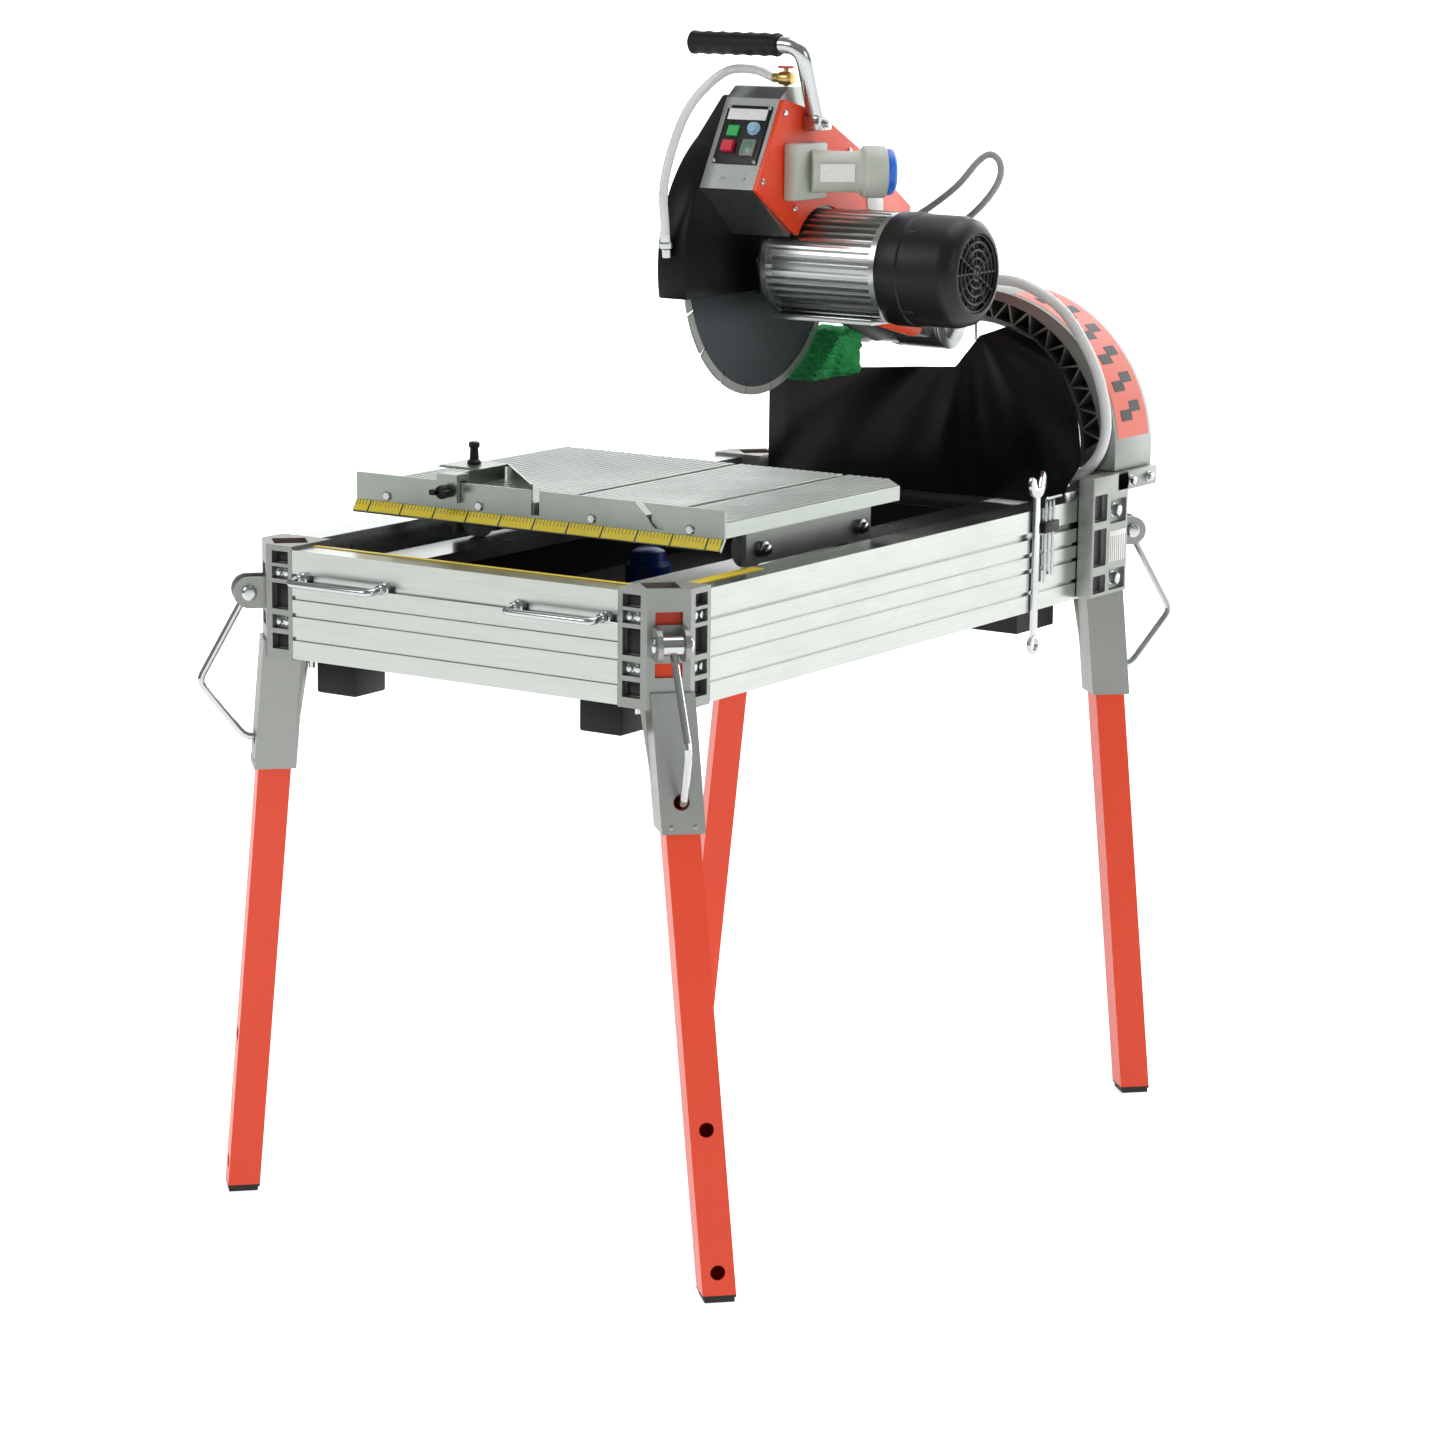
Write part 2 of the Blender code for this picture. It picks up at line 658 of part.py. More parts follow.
def make_blade():
    spot = (BLADE_Y, BLADE_Z)
    blade = prism("blade", "X", -BLADE_T / 2, BLADE_T / 2, circle(*spot, BLADE_R, 72), "blade_steel")
    bore = prism("blade_bore", "X", -0.02, 0.02, circle(*spot, BLADE_BORE_R, 24))
    cut(blade, bore)
    face = BLADE_T / 2 + GAP
    arbor = prism("arbor", "X", -0.020, MOTOR_X[0] - GAP, circle(*spot, SHAFT_R, 24), "zinc")
    for name, lo, hi, radius in (
        ("arbor_outer", -face - FLANGE_T, -face, FLANGE_R), ("arbor_inner", face, face + FLANGE_T, FLANGE_R),
        ("arbor_nut", -0.020, -face - FLANGE_T / 2, 0.018),
    ):
        join(arbor, prism(name, "X", lo, hi, circle(*spot, radius, 36 if radius > 0.02 else 6)))


def guard_outline():
    """The guard seen from the side: a round front and back under a flat top."""
    front = math.pi + math.asin((BLADE_Z - GUARD_CUT_Z) / GUARD_R)
    arc = circle(BLADE_Y, BLADE_Z, GUARD_R, 12, front, 0.68 * math.pi)
    back = circle(BLADE_Y, BLADE_Z, GUARD_R, 6, 0.25 * math.pi, -math.asin((BLADE_Z - GUARD_CUT_Z) / GUARD_R))
    return [*arc, (BLADE_Y - 0.045, 1.362), (BLADE_Y + 0.075, 1.362), *back]


def make_guard():
    guard = prism("blade_guard", "X", *GUARD_X, guard_outline(), "guard_black")
    inner = (GUARD_X[0] + GUARD_WALL, GUARD_X[1] - GUARD_WALL)
    cavity = prism("guard_cavity", "X", *inner, circle(BLADE_Y, BLADE_Z, GUARD_R - 0.006, 48))
    opening = prism("guard_shaft_hole", "X", 0.0, 0.03, circle(BLADE_Y, BLADE_Z, 0.024, 24))
    cut(guard, cavity, opening)


def make_swing_arm():
    hub_spot = (PIVOT_Y, PIVOT_Z)
    arm = prism("swing_arm", "X", HUB_IN, HUB_RIGHT, circle(*hub_spot, HUB_R, 40), "orange_paint")
    left = prism("hub_left", "X", -HUB_LEFT, -HUB_IN, circle(*hub_spot, HUB_R, 40))
    axle = prism("hub_axle", "X", -HUB_LEFT + 0.001, HUB_IN + 0.001, circle(*hub_spot, AXLE_HEAD_R, 24))
    rear = [
        (PIVOT_Y + 0.020, PIVOT_Z + 0.034), (PIVOT_Y + HUB_R - 0.002, PIVOT_Z), (PIVOT_Y + 0.013, PIVOT_Z - 0.037),
        (PIVOT_Y - 0.020, PIVOT_Z - 0.036),
    ]
    outer = prism(
        "side_plate", "X", *OUTER_PLATE,
        [
            (PANEL_LOW[0] - 0.002, PANEL_LOW[1]), (PANEL_HIGH[0], PANEL_HIGH[1]), (0.085, 1.343), (0.180, 1.296),
            (0.315, 1.214), *rear, (0.190, 1.073), (BLADE_Y, BLADE_Z),
        ],
    )
    round_motor = prism("motor_opening", "X", 0.05, 0.12, circle(BLADE_Y, BLADE_Z, MOTOR_R + 0.0035, 48))
    inner = prism(
        "motor_plate", "X", *INNER_PLATE,
        [
            (0.050, 1.112), (0.040, 1.152), (0.050, 1.192), (0.090, 1.214), (0.130, 1.214), (0.315, 1.150), *rear,
            (0.330, 1.030), (0.210, 1.072), (0.110, 1.086),
        ],
    )
    shaft_hole = prism("shaft_hole", "X", 0.02, 0.06, circle(BLADE_Y, BLADE_Z, SHAFT_R + 0.004, 24))
    join(arm, left, axle, inner)
    cut(arm, shaft_hole)
    join(arm, outer)
    cut(arm, round_motor)


def make_motor():
    spot = (BLADE_Y, BLADE_Z)
    prism("motor_housing", "X", *MOTOR_X, circle(*spot, MOTOR_R, 48), "motor_aluminium")
    prism("fan_cover", "X", MOTOR_X[1] + GAP, FAN_END, circle(*spot, FAN_R, 48), "black_plastic")


def on_panel(x, s, n):
    """A point of the sloping control panel: x, distance up its face and height off it."""
    low, high = Vector((0, *PANEL_LOW)), Vector((0, *PANEL_HIGH))
    up = (high - low).normalized()
    out = Vector((0, -up.z, up.y))
    return low + up * s + out * n + Vector((x, 0, 0))


def panel_box(name, x, s, n, paint=None):
    low = [on_panel(u, v, n[0]) for u, v in rectangle(x, s)]
    high = [on_panel(u, v, n[1]) for u, v in rectangle(x, s)]
    return loft(name, low, high, paint)


def make_controls():
    x = (GUARD_X[1] + GAP, OUTER_PLATE[0] - GAP)
    outline = [
        PANEL_LOW, PANEL_HIGH, (0.021, BOX_TOP), (0.055, BOX_TOP), (0.085, 1.342), (0.160, 1.303), (0.160, 1.240),
        (0.030, 1.240),
        (0.030, 1.190), (0.022, 1.190),
    ]
    control = prism("control_box", "X", *x, outline, "extruded_aluminium")
    middle = x[0] + 0.027
    for name, s, rise, paint in (
        ("start_button", 0.078, 0.005, "button_green"), ("stop_button", 0.056, 0.009, "button_red"),
    ):
        across = (middle - BUTTON_W / 2, middle + BUTTON_W / 2)
        along = (s - BUTTON_L / 2, s + BUTTON_L / 2)
        button = panel_box(name, across, along, (-0.002, rise), paint)
        button.hide_render = False
        wide = 0.0008
        well = panel_box(
            f"{name}_well", (across[0] - wide, across[1] + wide), (along[0] - wide, along[1] + wide),
            (-0.002 - BUTTON_TRAVEL - wide, 0.02),
        )
        cut(control, well)
    make_inlet()
    make_handle()


def make_inlet():
    face = OUTER_PLATE[1] + GAP
    inlet = box("power_inlet", (face, face + 0.022), (0.000, 0.076), (1.236, 1.308), "inlet_grey")
    start = Vector((face + 0.0185, 0.036, 1.272))
    way = Vector((0.76, 0.65, 0)).normalized()
    collar = start + way * 0.066
    join(
        inlet, rod("inlet_throat", start, start + way * 0.090, 0.027, None, 28),
        rod("inlet_collar", collar, collar + way * 0.030, 0.033, None, 28),
        rod("inlet_cap", start, start + way * 0.108, 0.025, None, 28),
    )


def make_handle():
    side = OUTER_PLATE[1] + 0.0119
    grip_z = GRIP_Z
    path = rounded([(side, 0.062, 1.326), (side, 0.022, grip_z), (GRIP_X[1] + GAP, 0.022, grip_z)], 0.024, 6)
    sweep("handle_bar", path, 0.0110, "zinc", 16)
    rod("handle_grip", (GRIP_X[1], 0.022, grip_z), (GRIP_X[0], 0.022, grip_z), 0.0150, "black_rubber", 24)


def make_splash_brush():
    clear = BLADE_R + 0.004
    low, high = 0.990, 1.050
    arc = [-math.asin((BLADE_Z - z) / clear) for z in (low, high)]
    outline = [(0.300, low), (0.300, high), *circle(BLADE_Y, BLADE_Z, clear, 8, arc[1], arc[0])]
    prism("splash_brush", "X", -0.024, INNER_PLATE[0] - GAP, outline, "brush_green")


# Arm


def make_arm():
    arch_x = ARCH_OUT[0] + ARCH_OUT[2]
    inner_x = ARCH_IN[0] + ARCH_IN[2]
    outer = circle(ARCH_OUT[0], ARCH_OUT[1], ARCH_OUT[2], 18, 0, math.pi / 2)
    inner = circle(ARCH_IN[0], ARCH_IN[1], ARCH_IN[2], 18, math.pi / 2, 0)
    top_out = ARCH_OUT[1] + ARCH_OUT[2]
    top_in = ARCH_IN[1] + ARCH_IN[2]
    outline = [
        (arch_x, FOOT_BLOCK_Z + GAP), *outer, (-0.020, top_out), (-0.020, top_in), *inner,
        (inner_x, FOOT_BLOCK_Z + GAP),
    ]
    arch = prism("arch_arm", "Y", *ARCH_Y, outline, "cast_aluminium")
    boss = prism("arch_boss", "Y", *ARCH_Y, circle(0, PIVOT_Z, BOSS_R, 36))
    join(arch, boss)
    windows = []
    count = 8
    for k in range(count):
        a, b = (math.pi / 2 * (k + e) / count for e in (0.10, 0.90))
        low, high = ARCH_IN[2] + 0.007, ARCH_IN[2] + 0.027
        wide, narrow = (low, high) if k % 2 == 0 else (high, low)
        corners = [(wide, a), (wide, b), (narrow, (a + b) / 2)]
        spots = [(ARCH_IN[0] + r * math.cos(t), ARCH_IN[1] + r * math.sin(t)) for r, t in corners]
        windows.append(prism(f"arch_window_{k}", "Y", ARCH_Y[0] - 0.01, ARCH_Y[0] + 0.030, spots))
    cut(arch, *windows)
    foot = box(
        "arm_base", BASE_SIDE_X, BASE_SIDE_Y, (FRAME_TOP - RAIL_H + 0.002, FOOT_BLOCK_Z), "cast_aluminium"
    )
    shelf_z = FRAME_TOP + CORNER_RISE + GAP
    shelf = box("arm_foot", (inner_x - 0.012, BASE_SIDE_X[1]), (FOOT_BLOCK_Y, ARCH_Y[1]), (shelf_z, FOOT_BLOCK_Z))
    join(foot, shelf)
    make_tilt_bracket()


def make_tilt_bracket():
    front = ARCH_Y[0] - GAP - FLANGE_DEPTH
    bracket = prism(
        "tilt_bracket", "Y", front, ARCH_Y[0] - GAP, circle(0, PIVOT_Z, BOSS_R, 36), "cast_aluminium"
    )
    half = HUB_IN - 0.0008
    block = box(
        "bracket_block", (-half, half), (PIVOT_Y, front + 0.003), (PIVOT_Z - 0.028, PIVOT_Z + 0.028)
    )
    barrel = prism("bracket_barrel", "X", -half, half, circle(PIVOT_Y, PIVOT_Z, BARREL_HUB_R, 36))
    bore = prism("bracket_bore", "X", -0.06, 0.06, circle(PIVOT_Y, PIVOT_Z, AXLE_HEAD_R + GAP, 24))
    join(bracket, block, barrel)
    cut(bracket, bore)


def make_curtain():
    y = (0.440, 0.446)
    foot = CURTAIN_FOOT
    outline = [
        (-0.200, foot), (-0.200, 0.957), (-0.120, 0.974), (0.104, 0.990), (0.134, 1.034), (0.172, 1.046),
        (0.215, 1.028), (0.250, 0.990), (0.276, 0.940), (0.286, 0.872), (0.268, 0.850), (0.268, foot),
    ]
    prism("splash_curtain", "Y", *y, outline, "curtain_rubber")


def make_hoses():
    guard_path = smooth_path([
        (0.058, 0.040, 1.3865), (0.030, 0.034, 1.396), (0.004, 0.004, 1.391), (-0.008, -0.058, 1.345),
        (-0.010, -0.103, 1.262), (-0.010, -0.100, 1.192),
    ])
    sweep("guard_hose", guard_path, 0.006, "clear_hose")
    y = ARCH_Y[0] - 0.0085
    feed_path = smooth_path([
        (0.246, 0.456, 0.760), (0.248, 0.456, 0.800), (0.262, 0.456, 0.846), (0.294, 0.457, 0.862),
        (0.314, 0.463, 0.892), (0.318, y, 0.935), (0.300, y, 1.000),
        (0.252, y, 1.070), (0.191, y, 1.104), (0.135, y, 1.110),
    ], 4)
    sweep("feed_hose", feed_path, 0.0075, "clear_hose")


def make_spanner():
    face = FRAME_W / 2 + GAP
    outline = [
        (0.272, 0.650), (0.280, 0.640), (0.288, 0.650), (0.290, 0.820), (0.308, 0.845), (0.304, 0.880),
        (0.294, 0.850), (0.276, 0.850), (0.266, 0.876), (0.258, 0.845), (0.270, 0.820),
    ]
    prism("spanner", "X", face, face + 0.006, outline, "zinc")


def centre_on_floor():
    """Parents the nodes to one empty and moves it so that the object stands centred on the origin."""
    root = bpy.data.objects.new("saw_origin", None)
    bpy.context.collection.objects.link(root)
    bpy.context.view_layer.update()
    graph = bpy.context.evaluated_depsgraph_get()
    spots = []
    for obj in bpy.data.objects:
        if obj.type == "MESH" and not obj.hide_render:
            spots += [Vector(corner) for corner in obj.evaluated_get(graph).bound_box]
    low = [min(p[k] for p in spots) for k in range(3)]
    high = [max(p[k] for p in spots) for k in range(3)]
    for obj in bpy.data.objects:
        if obj is not root:
            obj.parent = root
    root.location = (-(low[0] + high[0]) / 2, -(low[1] + high[1]) / 2, -low[2])


def main():
    clear_scene()
    make_rails()
    for spot, side_x, side_y in CORNERS:
        make_corner(f"corner_{spot}", side_x, side_y)
        make_leg(f"leg_{spot}", side_x, side_y)
        make_lever(f"lock_lever_{spot}", side_x, side_y)
    make_tank()
    make_carry_handles()
    make_table()
    make_fence()
    make_blade()
    make_guard()
    make_swing_arm()
    make_motor()
    make_controls()
    make_splash_brush()
    make_arm()
    make_curtain()
    make_hoses()
    make_spanner()
    centre_on_floor()


main()
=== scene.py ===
import math

import bpy
from bpy.props import FloatProperty, FloatVectorProperty, PointerProperty
from mathutils import Matrix, Vector


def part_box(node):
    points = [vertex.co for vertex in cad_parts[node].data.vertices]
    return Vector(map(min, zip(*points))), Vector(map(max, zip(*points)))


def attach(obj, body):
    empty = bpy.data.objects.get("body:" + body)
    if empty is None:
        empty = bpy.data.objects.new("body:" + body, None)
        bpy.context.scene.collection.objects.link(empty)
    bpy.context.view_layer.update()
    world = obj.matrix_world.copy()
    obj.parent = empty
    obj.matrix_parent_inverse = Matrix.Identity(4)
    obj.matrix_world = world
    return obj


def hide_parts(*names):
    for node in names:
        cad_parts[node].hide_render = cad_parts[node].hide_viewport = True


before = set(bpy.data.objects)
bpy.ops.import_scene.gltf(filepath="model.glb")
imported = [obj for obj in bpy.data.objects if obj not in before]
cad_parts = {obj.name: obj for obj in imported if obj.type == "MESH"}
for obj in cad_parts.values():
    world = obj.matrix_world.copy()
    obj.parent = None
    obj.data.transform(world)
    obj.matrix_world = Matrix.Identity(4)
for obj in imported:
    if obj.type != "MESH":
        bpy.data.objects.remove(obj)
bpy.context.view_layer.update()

bl_info = {
    "name": "Masonry saw on stand",
    "version": (1, 0, 0),
    "blender": (4, 5, 0),
    "location": "View3D > Sidebar > Saw",
    "description": "Dresses a wet masonry saw and its folding stand in finished pieces and materials",
    "category": "Object",
}

# Where the saw's main lines lie, in metres
RIGHT, LEFT, FORWARD, UP = (1, 0, 0), (-1, 0, 0), (0, -1, 0), (0, 0, 1)
CORNERS = {"front_left": (-1, -1), "front_right": (1, -1), "rear_left": (-1, 1), "rear_right": (1, 1)}
FRAME_X, FRAME_Y, FRAME_TOP = 0.315, 0.558, 0.832
CHAMFER = 0.036
RAIL_TAPE_Z = (FRAME_TOP + 0.0002, FRAME_TOP + 0.0010)
LEG_FOOT = (0.360, 0.521)
LEG_LEAN = 0.1054
RIVET_Z = 0.562
LEVER_PIVOT_Z = 0.775
BLADE_Y, BLADE_Z, BLADE_R = 0.1006, 1.152, 0.175
PIVOT_Y, PIVOT_Z = 0.427, 1.055
TABLE_TOP, TABLE_T, TABLE_HALF, CUT_GAP, TILT_CUT_X = 0.891, 0.018, 0.2725, 0.004, 0.163
ROLLER_Y, ROLLER_Z = (-0.23, -0.004), 0.837
TOOL_FACE = 0.3155
PLATE_X = (0.092, 0.098)
HUB = (PIVOT_Y, PIVOT_Z)
ARCH_IN = (0.108, 0.885, 0.168)
ARCH_OUT = (0.118, 0.883, 0.211)
ARCH_Y = (0.475, 0.580)
PANEL_LOW = Vector((0, -0.058, 1.252))
PANEL_HIGH = Vector((0, 0.002, 1.362))
GRIP_X, GRIP_Z = (-0.055, 0.078), 1.428
AXES = {"X": Vector((1, 0, 0)), "Y": Vector((0, 1, 0)), "Z": Vector((0, 0, 1))}


class SawSizes(bpy.types.PropertyGroup):
    """Sizes of the details that a user may want to change"""

    fin_depth: FloatProperty(
        name="Fin depth", description="Depth of the motor's cooling fins", default=0.0075, min=0.001, unit="LENGTH"
    )
    groove_pitch: FloatProperty(
        name="Table groove pitch", description="Spacing of the table's grooves", default=0.0107, min=0.004,
        unit="LENGTH",
    )
    fold_depth: FloatProperty(
        name="Curtain fold depth", description="How deep the curtain's folds are", default=0.0055, min=0.0,
        unit="LENGTH",
    )


class SawColours(bpy.types.PropertyGroup):
    """Colours of the painted and moulded pieces"""

    paint: FloatVectorProperty(
        name="Orange paint", description="Legs and side plate", subtype="COLOR", size=3, default=(0.78, 0.048, 0.004),
        min=0, max=1,
    )
    mat: FloatVectorProperty(
        name="Brush green", description="Fibre mat behind the blade", subtype="COLOR", size=3,
        default=(0.035, 0.42, 0.12), min=0, max=1,
    )
    cap: FloatVectorProperty(
        name="Inlet blue", description="Cap of the power inlet", subtype="COLOR", size=3, default=(0.02, 0.16, 0.75),
        min=0, max=1,
    )


# ---------------------------------------------------------------- finishes


def shader_of(name):
    made = bpy.data.materials.new(name)
    made.use_nodes = True
    tree = made.node_tree
    return made, tree, tree.nodes["Principled BSDF"]


def node(tree, kind, **values):
    made = tree.nodes.new(kind)
    for key, value in values.items():
        setattr(made, key, value)
    return made


def math_node(tree, operation, a, b=0.0):
    made = node(tree, "ShaderNodeMath", operation=operation)
    for socket, value in zip(made.inputs, (a, b)):
        if isinstance(value, (int, float)):
            socket.default_value = value
        else:
            tree.links.new(value, socket)
    return made.outputs[0]


def mix_colour(tree, factor, a, b):
    made = node(tree, "ShaderNodeMix", data_type="RGBA")
    tree.links.new(factor, made.inputs["Factor"])
    for socket, value in ((made.inputs[6], a), (made.inputs[7], b)):
        if hasattr(value, "links"):
            tree.links.new(value, socket)
        else:
            socket.default_value = (*value, 1)
    return made.outputs[2]


def noise(tree, scale, stretch=(1, 1, 1), detail=4.0):
    spot = node(tree, "ShaderNodeTexCoord")
    mapping = node(tree, "ShaderNodeMapping")
    mapping.inputs["Scale"].default_value = stretch
    made = node(tree, "ShaderNodeTexNoise")
    made.inputs["Scale"].default_value = scale
    made.inputs["Detail"].default_value = detail
    tree.links.new(spot.outputs["Object"], mapping.inputs["Vector"])
    tree.links.new(mapping.outputs[0], made.inputs["Vector"])
    return made.outputs["Fac"]


def place_in(tree):
    """The X, Y and Z of a point on the piece, as sockets."""
    split = node(tree, "ShaderNodeSeparateXYZ")
    tree.links.new(node(tree, "ShaderNodeTexCoord").outputs["Object"], split.inputs[0])
    return split.outputs


def roughen(tree, shader, height, strength, depth):
    bumps = node(tree, "ShaderNodeBump")
    bumps.inputs["Strength"].default_value = strength
    bumps.inputs["Distance"].default_value = depth
    tree.links.new(height, bumps.inputs["Height"])
    tree.links.new(bumps.outputs[0], shader.inputs["Normal"])


def spread(tree, value, low, high):
    """Stretches the middle of a noise to the range from low to high."""
    made = node(tree, "ShaderNodeMapRange")
    made.inputs["From Min"].default_value = 0.3
    made.inputs["From Max"].default_value = 0.7
    made.inputs["To Min"].default_value = low
    made.inputs["To Max"].default_value = high
    tree.links.new(value, made.inputs["Value"])
    return made.outputs[0]


def finish(name, colour, rough, metallic=0.0, grain=400, stretch=(1, 1, 1), shade=0.12, bump=0.15, depth=0.0002,
           coat=0.0, shine=0.5):
    """A material whose colour, gloss and surface all vary a little, as a real finish does."""
    name = f"{name}_finish"
    found = bpy.data.materials.get(name)
    if found:
        return found
    made, tree, shader = shader_of(name)
    fine = noise(tree, grain, stretch)
    broad = noise(tree, 9, detail=3)
    both = math_node(tree, "MULTIPLY", math_node(tree, "ADD", fine, broad), 0.5)
    factor = spread(tree, both, 0.0, 1.0)
    dark = tuple(c * (1 - shade) for c in colour)
    light = tuple(min(1.0, c * (1 + shade * 0.6)) for c in colour)
    tree.links.new(mix_colour(tree, factor, dark, light), shader.inputs["Base Color"])
    tree.links.new(spread(tree, broad, rough * 0.85, rough * 1.15), shader.inputs["Roughness"])
    shader.inputs["Metallic"].default_value = metallic
    shader.inputs["Coat Weight"].default_value = coat
    shader.inputs["Specular IOR Level"].default_value = shine
    shader.inputs["Coat Roughness"].default_value = 0.12
    if bump:
        roughen(tree, shader, fine, bump, depth)
    return made


def plain(name, colour, rough, grain=200, **more):
    """A smooth moulded or enamelled finish, with no bump."""
    return finish(name, colour, rough, 0.0, grain, bump=0.0, **more)


def cast():
    return finish("cast_aluminium", (0.31, 0.325, 0.305), 0.40, 0.85, 900, shade=0.16, bump=0.35, depth=0.0004)


def extruded(axis):
    stretch = {"X": (0.02, 1, 1), "Y": (1, 0.02, 1), "Z": (1, 1, 0.02)}[axis]
    return finish(f"extruded_aluminium_{axis}", (0.52, 0.55, 0.52), 0.24, 1.0, 700, stretch, 0.10, 0.12)


def zinc():
    return finish("zinc_plate", (0.52, 0.54, 0.55), 0.18, 1.0, 300, shade=0.10, bump=0.05)


def black():
    return finish("black_moulding", (0.006, 0.006, 0.006), 0.40, 0.0, 1100, shade=0.25, bump=0.25, shine=0.32)


def rubber():
    return finish("black_rubber", (0.006, 0.006, 0.006), 0.5, 0.0, 700, shade=0.2, bump=0.2, shine=0.25)


def orange():
    colour = tuple(bpy.context.scene.saw_colours.paint)
    return finish("orange_paint", colour, 0.42, 0.0, 1400, shade=0.05, bump=0.12, depth=0.00015, coat=0.08)


def leg_paint():
    """The leg's orange coat, ending in a black moulded foot."""
    found = bpy.data.materials.get("leg_paint_and_foot")
    if found:
        return found
    made, tree, shader = shader_of("leg_paint_and_foot")
    colour = tuple(bpy.context.scene.saw_colours.paint)
    worn = mix_colour(tree, noise(tree, 7), tuple(c * 0.93 for c in colour), tuple(min(1, c * 1.04) for c in colour))
    foot = math_node(tree, "LESS_THAN", place_in(tree)["Z"], 0.0088)
    tree.links.new(mix_colour(tree, foot, worn, (0.012, 0.012, 0.012)), shader.inputs["Base Color"])
    tree.links.new(math_node(tree, "MULTIPLY_ADD", foot, 0.3), shader.inputs["Roughness"])
    rough = shader.inputs["Roughness"].links[0].from_node
    rough.inputs[2].default_value = 0.34
    roughen(tree, shader, noise(tree, 1400), 0.12, 0.00015)
    return made


def ruler():
    """Yellow tape with black ticks every 5 mm, longer ones every 50 mm."""
    made, tree, shader = shader_of("ruler_tape")
    where = place_in(tree)
    x = math_node(tree, "ADD", where["X"], 1.0)
    short = math_node(tree, "LESS_THAN", math_node(tree, "MODULO", x, 0.005), 0.0009)
    long = math_node(tree, "LESS_THAN", math_node(tree, "MODULO", x, 0.05), 0.0024)
    high = math_node(tree, "GREATER_THAN", where["Z"], 0.8665)
    ticks = math_node(tree, "MAXIMUM", math_node(tree, "MULTIPLY", short, high), long)
    worn = mix_colour(tree, noise(tree, 60), (0.78, 0.60, 0.015), (0.90, 0.72, 0.03))
    tree.links.new(mix_colour(tree, ticks, worn, (0.02, 0.02, 0.02)), shader.inputs["Base Color"])
    shader.inputs["Roughness"].default_value = 0.4
    return made


# ---------------------------------------------------------------- shaping


def deselect():
    if bpy.context.mode != "OBJECT":
        bpy.ops.object.mode_set(mode="OBJECT")
    bpy.ops.object.select_all(action="DESELECT")


def named(name):
    obj = bpy.context.active_object
    obj.name = name
    obj.data.name = name
    return obj


def only(obj):
    deselect()
    obj.select_set(True)
    bpy.context.view_layer.objects.active = obj


def place(obj):
    """Puts the object at the origin, with its place in its mesh."""
    only(obj)
    bpy.ops.object.transform_apply(location=True, rotation=True, scale=True)


def tidy_faces(obj):
    """Joins doubled points and turns every face outwards."""
    only(obj)
    bpy.ops.object.mode_set(mode="EDIT")
    bpy.ops.mesh.select_all(action="SELECT")
    bpy.ops.mesh.remove_doubles(threshold=0.00001)
    bpy.ops.mesh.normals_make_consistent(inside=False)
    bpy.ops.object.mode_set(mode="OBJECT")


def apply_all(obj):
    only(obj)
    for modifier in list(obj.modifiers):
        bpy.ops.object.modifier_apply(modifier=modifier.name)


def round_edges(obj, width, segments=2, angle=35):
    if not width:
        return obj
    bevel = obj.modifiers.new("edges", "BEVEL")
    bevel.width = width
    bevel.segments = segments
    bevel.limit_method = "ANGLE"
    bevel.angle_limit = math.radians(angle)
    bevel.harden_normals = False
    apply_all(obj)
    return obj


def block(name, x, y, z, edge=0.0008):
    """A block between two places on each axis, with its edges rounded."""
    deselect()
    spans = [b - a for a, b in (x, y, z)]
    middle = [(a + b) / 2 for a, b in (x, y, z)]
    bpy.ops.mesh.primitive_cube_add(size=1, location=middle)
    obj = named(name)
    obj.scale = spans
    place(obj)
    return round_edges(obj, min(edge, min(spans) * 0.3))


def spot(axis, at, u, v):
    return {"X": (at, u, v), "Y": (u, at, v), "Z": (u, v, at)}[axis]


def plate(name, axis, span, outline, edge=0.0):
    """A sheet cut to an outline and drawn out to its thickness."""
    deselect()
    bpy.ops.mesh.primitive_circle_add(vertices=len(outline), radius=1, fill_type="NGON")
    obj = named(name)
    for vert, (u, v) in zip(obj.data.vertices, outline):
        vert.co = spot(axis, span[0], u, v)
    bpy.ops.object.mode_set(mode="EDIT")
    bpy.ops.mesh.select_all(action="SELECT")
    way = AXES[axis] * (span[1] - span[0])
    bpy.ops.mesh.extrude_region_move(TRANSFORM_OT_translate={"value": tuple(way)})
    bpy.ops.object.mode_set(mode="OBJECT")
    tidy_faces(obj)
    return round_edges(obj, edge)


def turned(name, start, way, profile, sides=32, edge=0.0):
    """A piece turned on a lathe about `way`; profile holds (distance along it, radius)."""
    deselect()
    way = Vector(way).normalized()
    start = Vector(start)
    first, radius = profile[0]
    turn = way.to_track_quat("Z", "Y").to_euler()
    bpy.ops.mesh.primitive_circle_add(
        vertices=sides, radius=radius, fill_type="NGON", location=start + way * first, rotation=turn
    )
    obj = named(name)
    place(obj)
    bpy.ops.object.mode_set(mode="EDIT")
    bpy.ops.mesh.select_all(action="SELECT")
    for (at, radius), (then, new) in zip(profile, profile[1:]):
        bpy.ops.mesh.extrude_region_move(TRANSFORM_OT_translate={"value": tuple(way * (then - at))})
        grow = new / radius
        bpy.ops.transform.resize(value=(grow, grow, grow), center_override=tuple(start + way * then))
    bpy.ops.object.mode_set(mode="OBJECT")
    tidy_faces(obj)
    return round_edges(obj, edge)


def rod(name, a, b, radius, sides=20, edge=0.0006):
    a, b = Vector(a), Vector(b)
    return turned(name, a, b - a, [(0, radius), ((b - a).length, radius)], sides, min(edge, radius * 0.3))


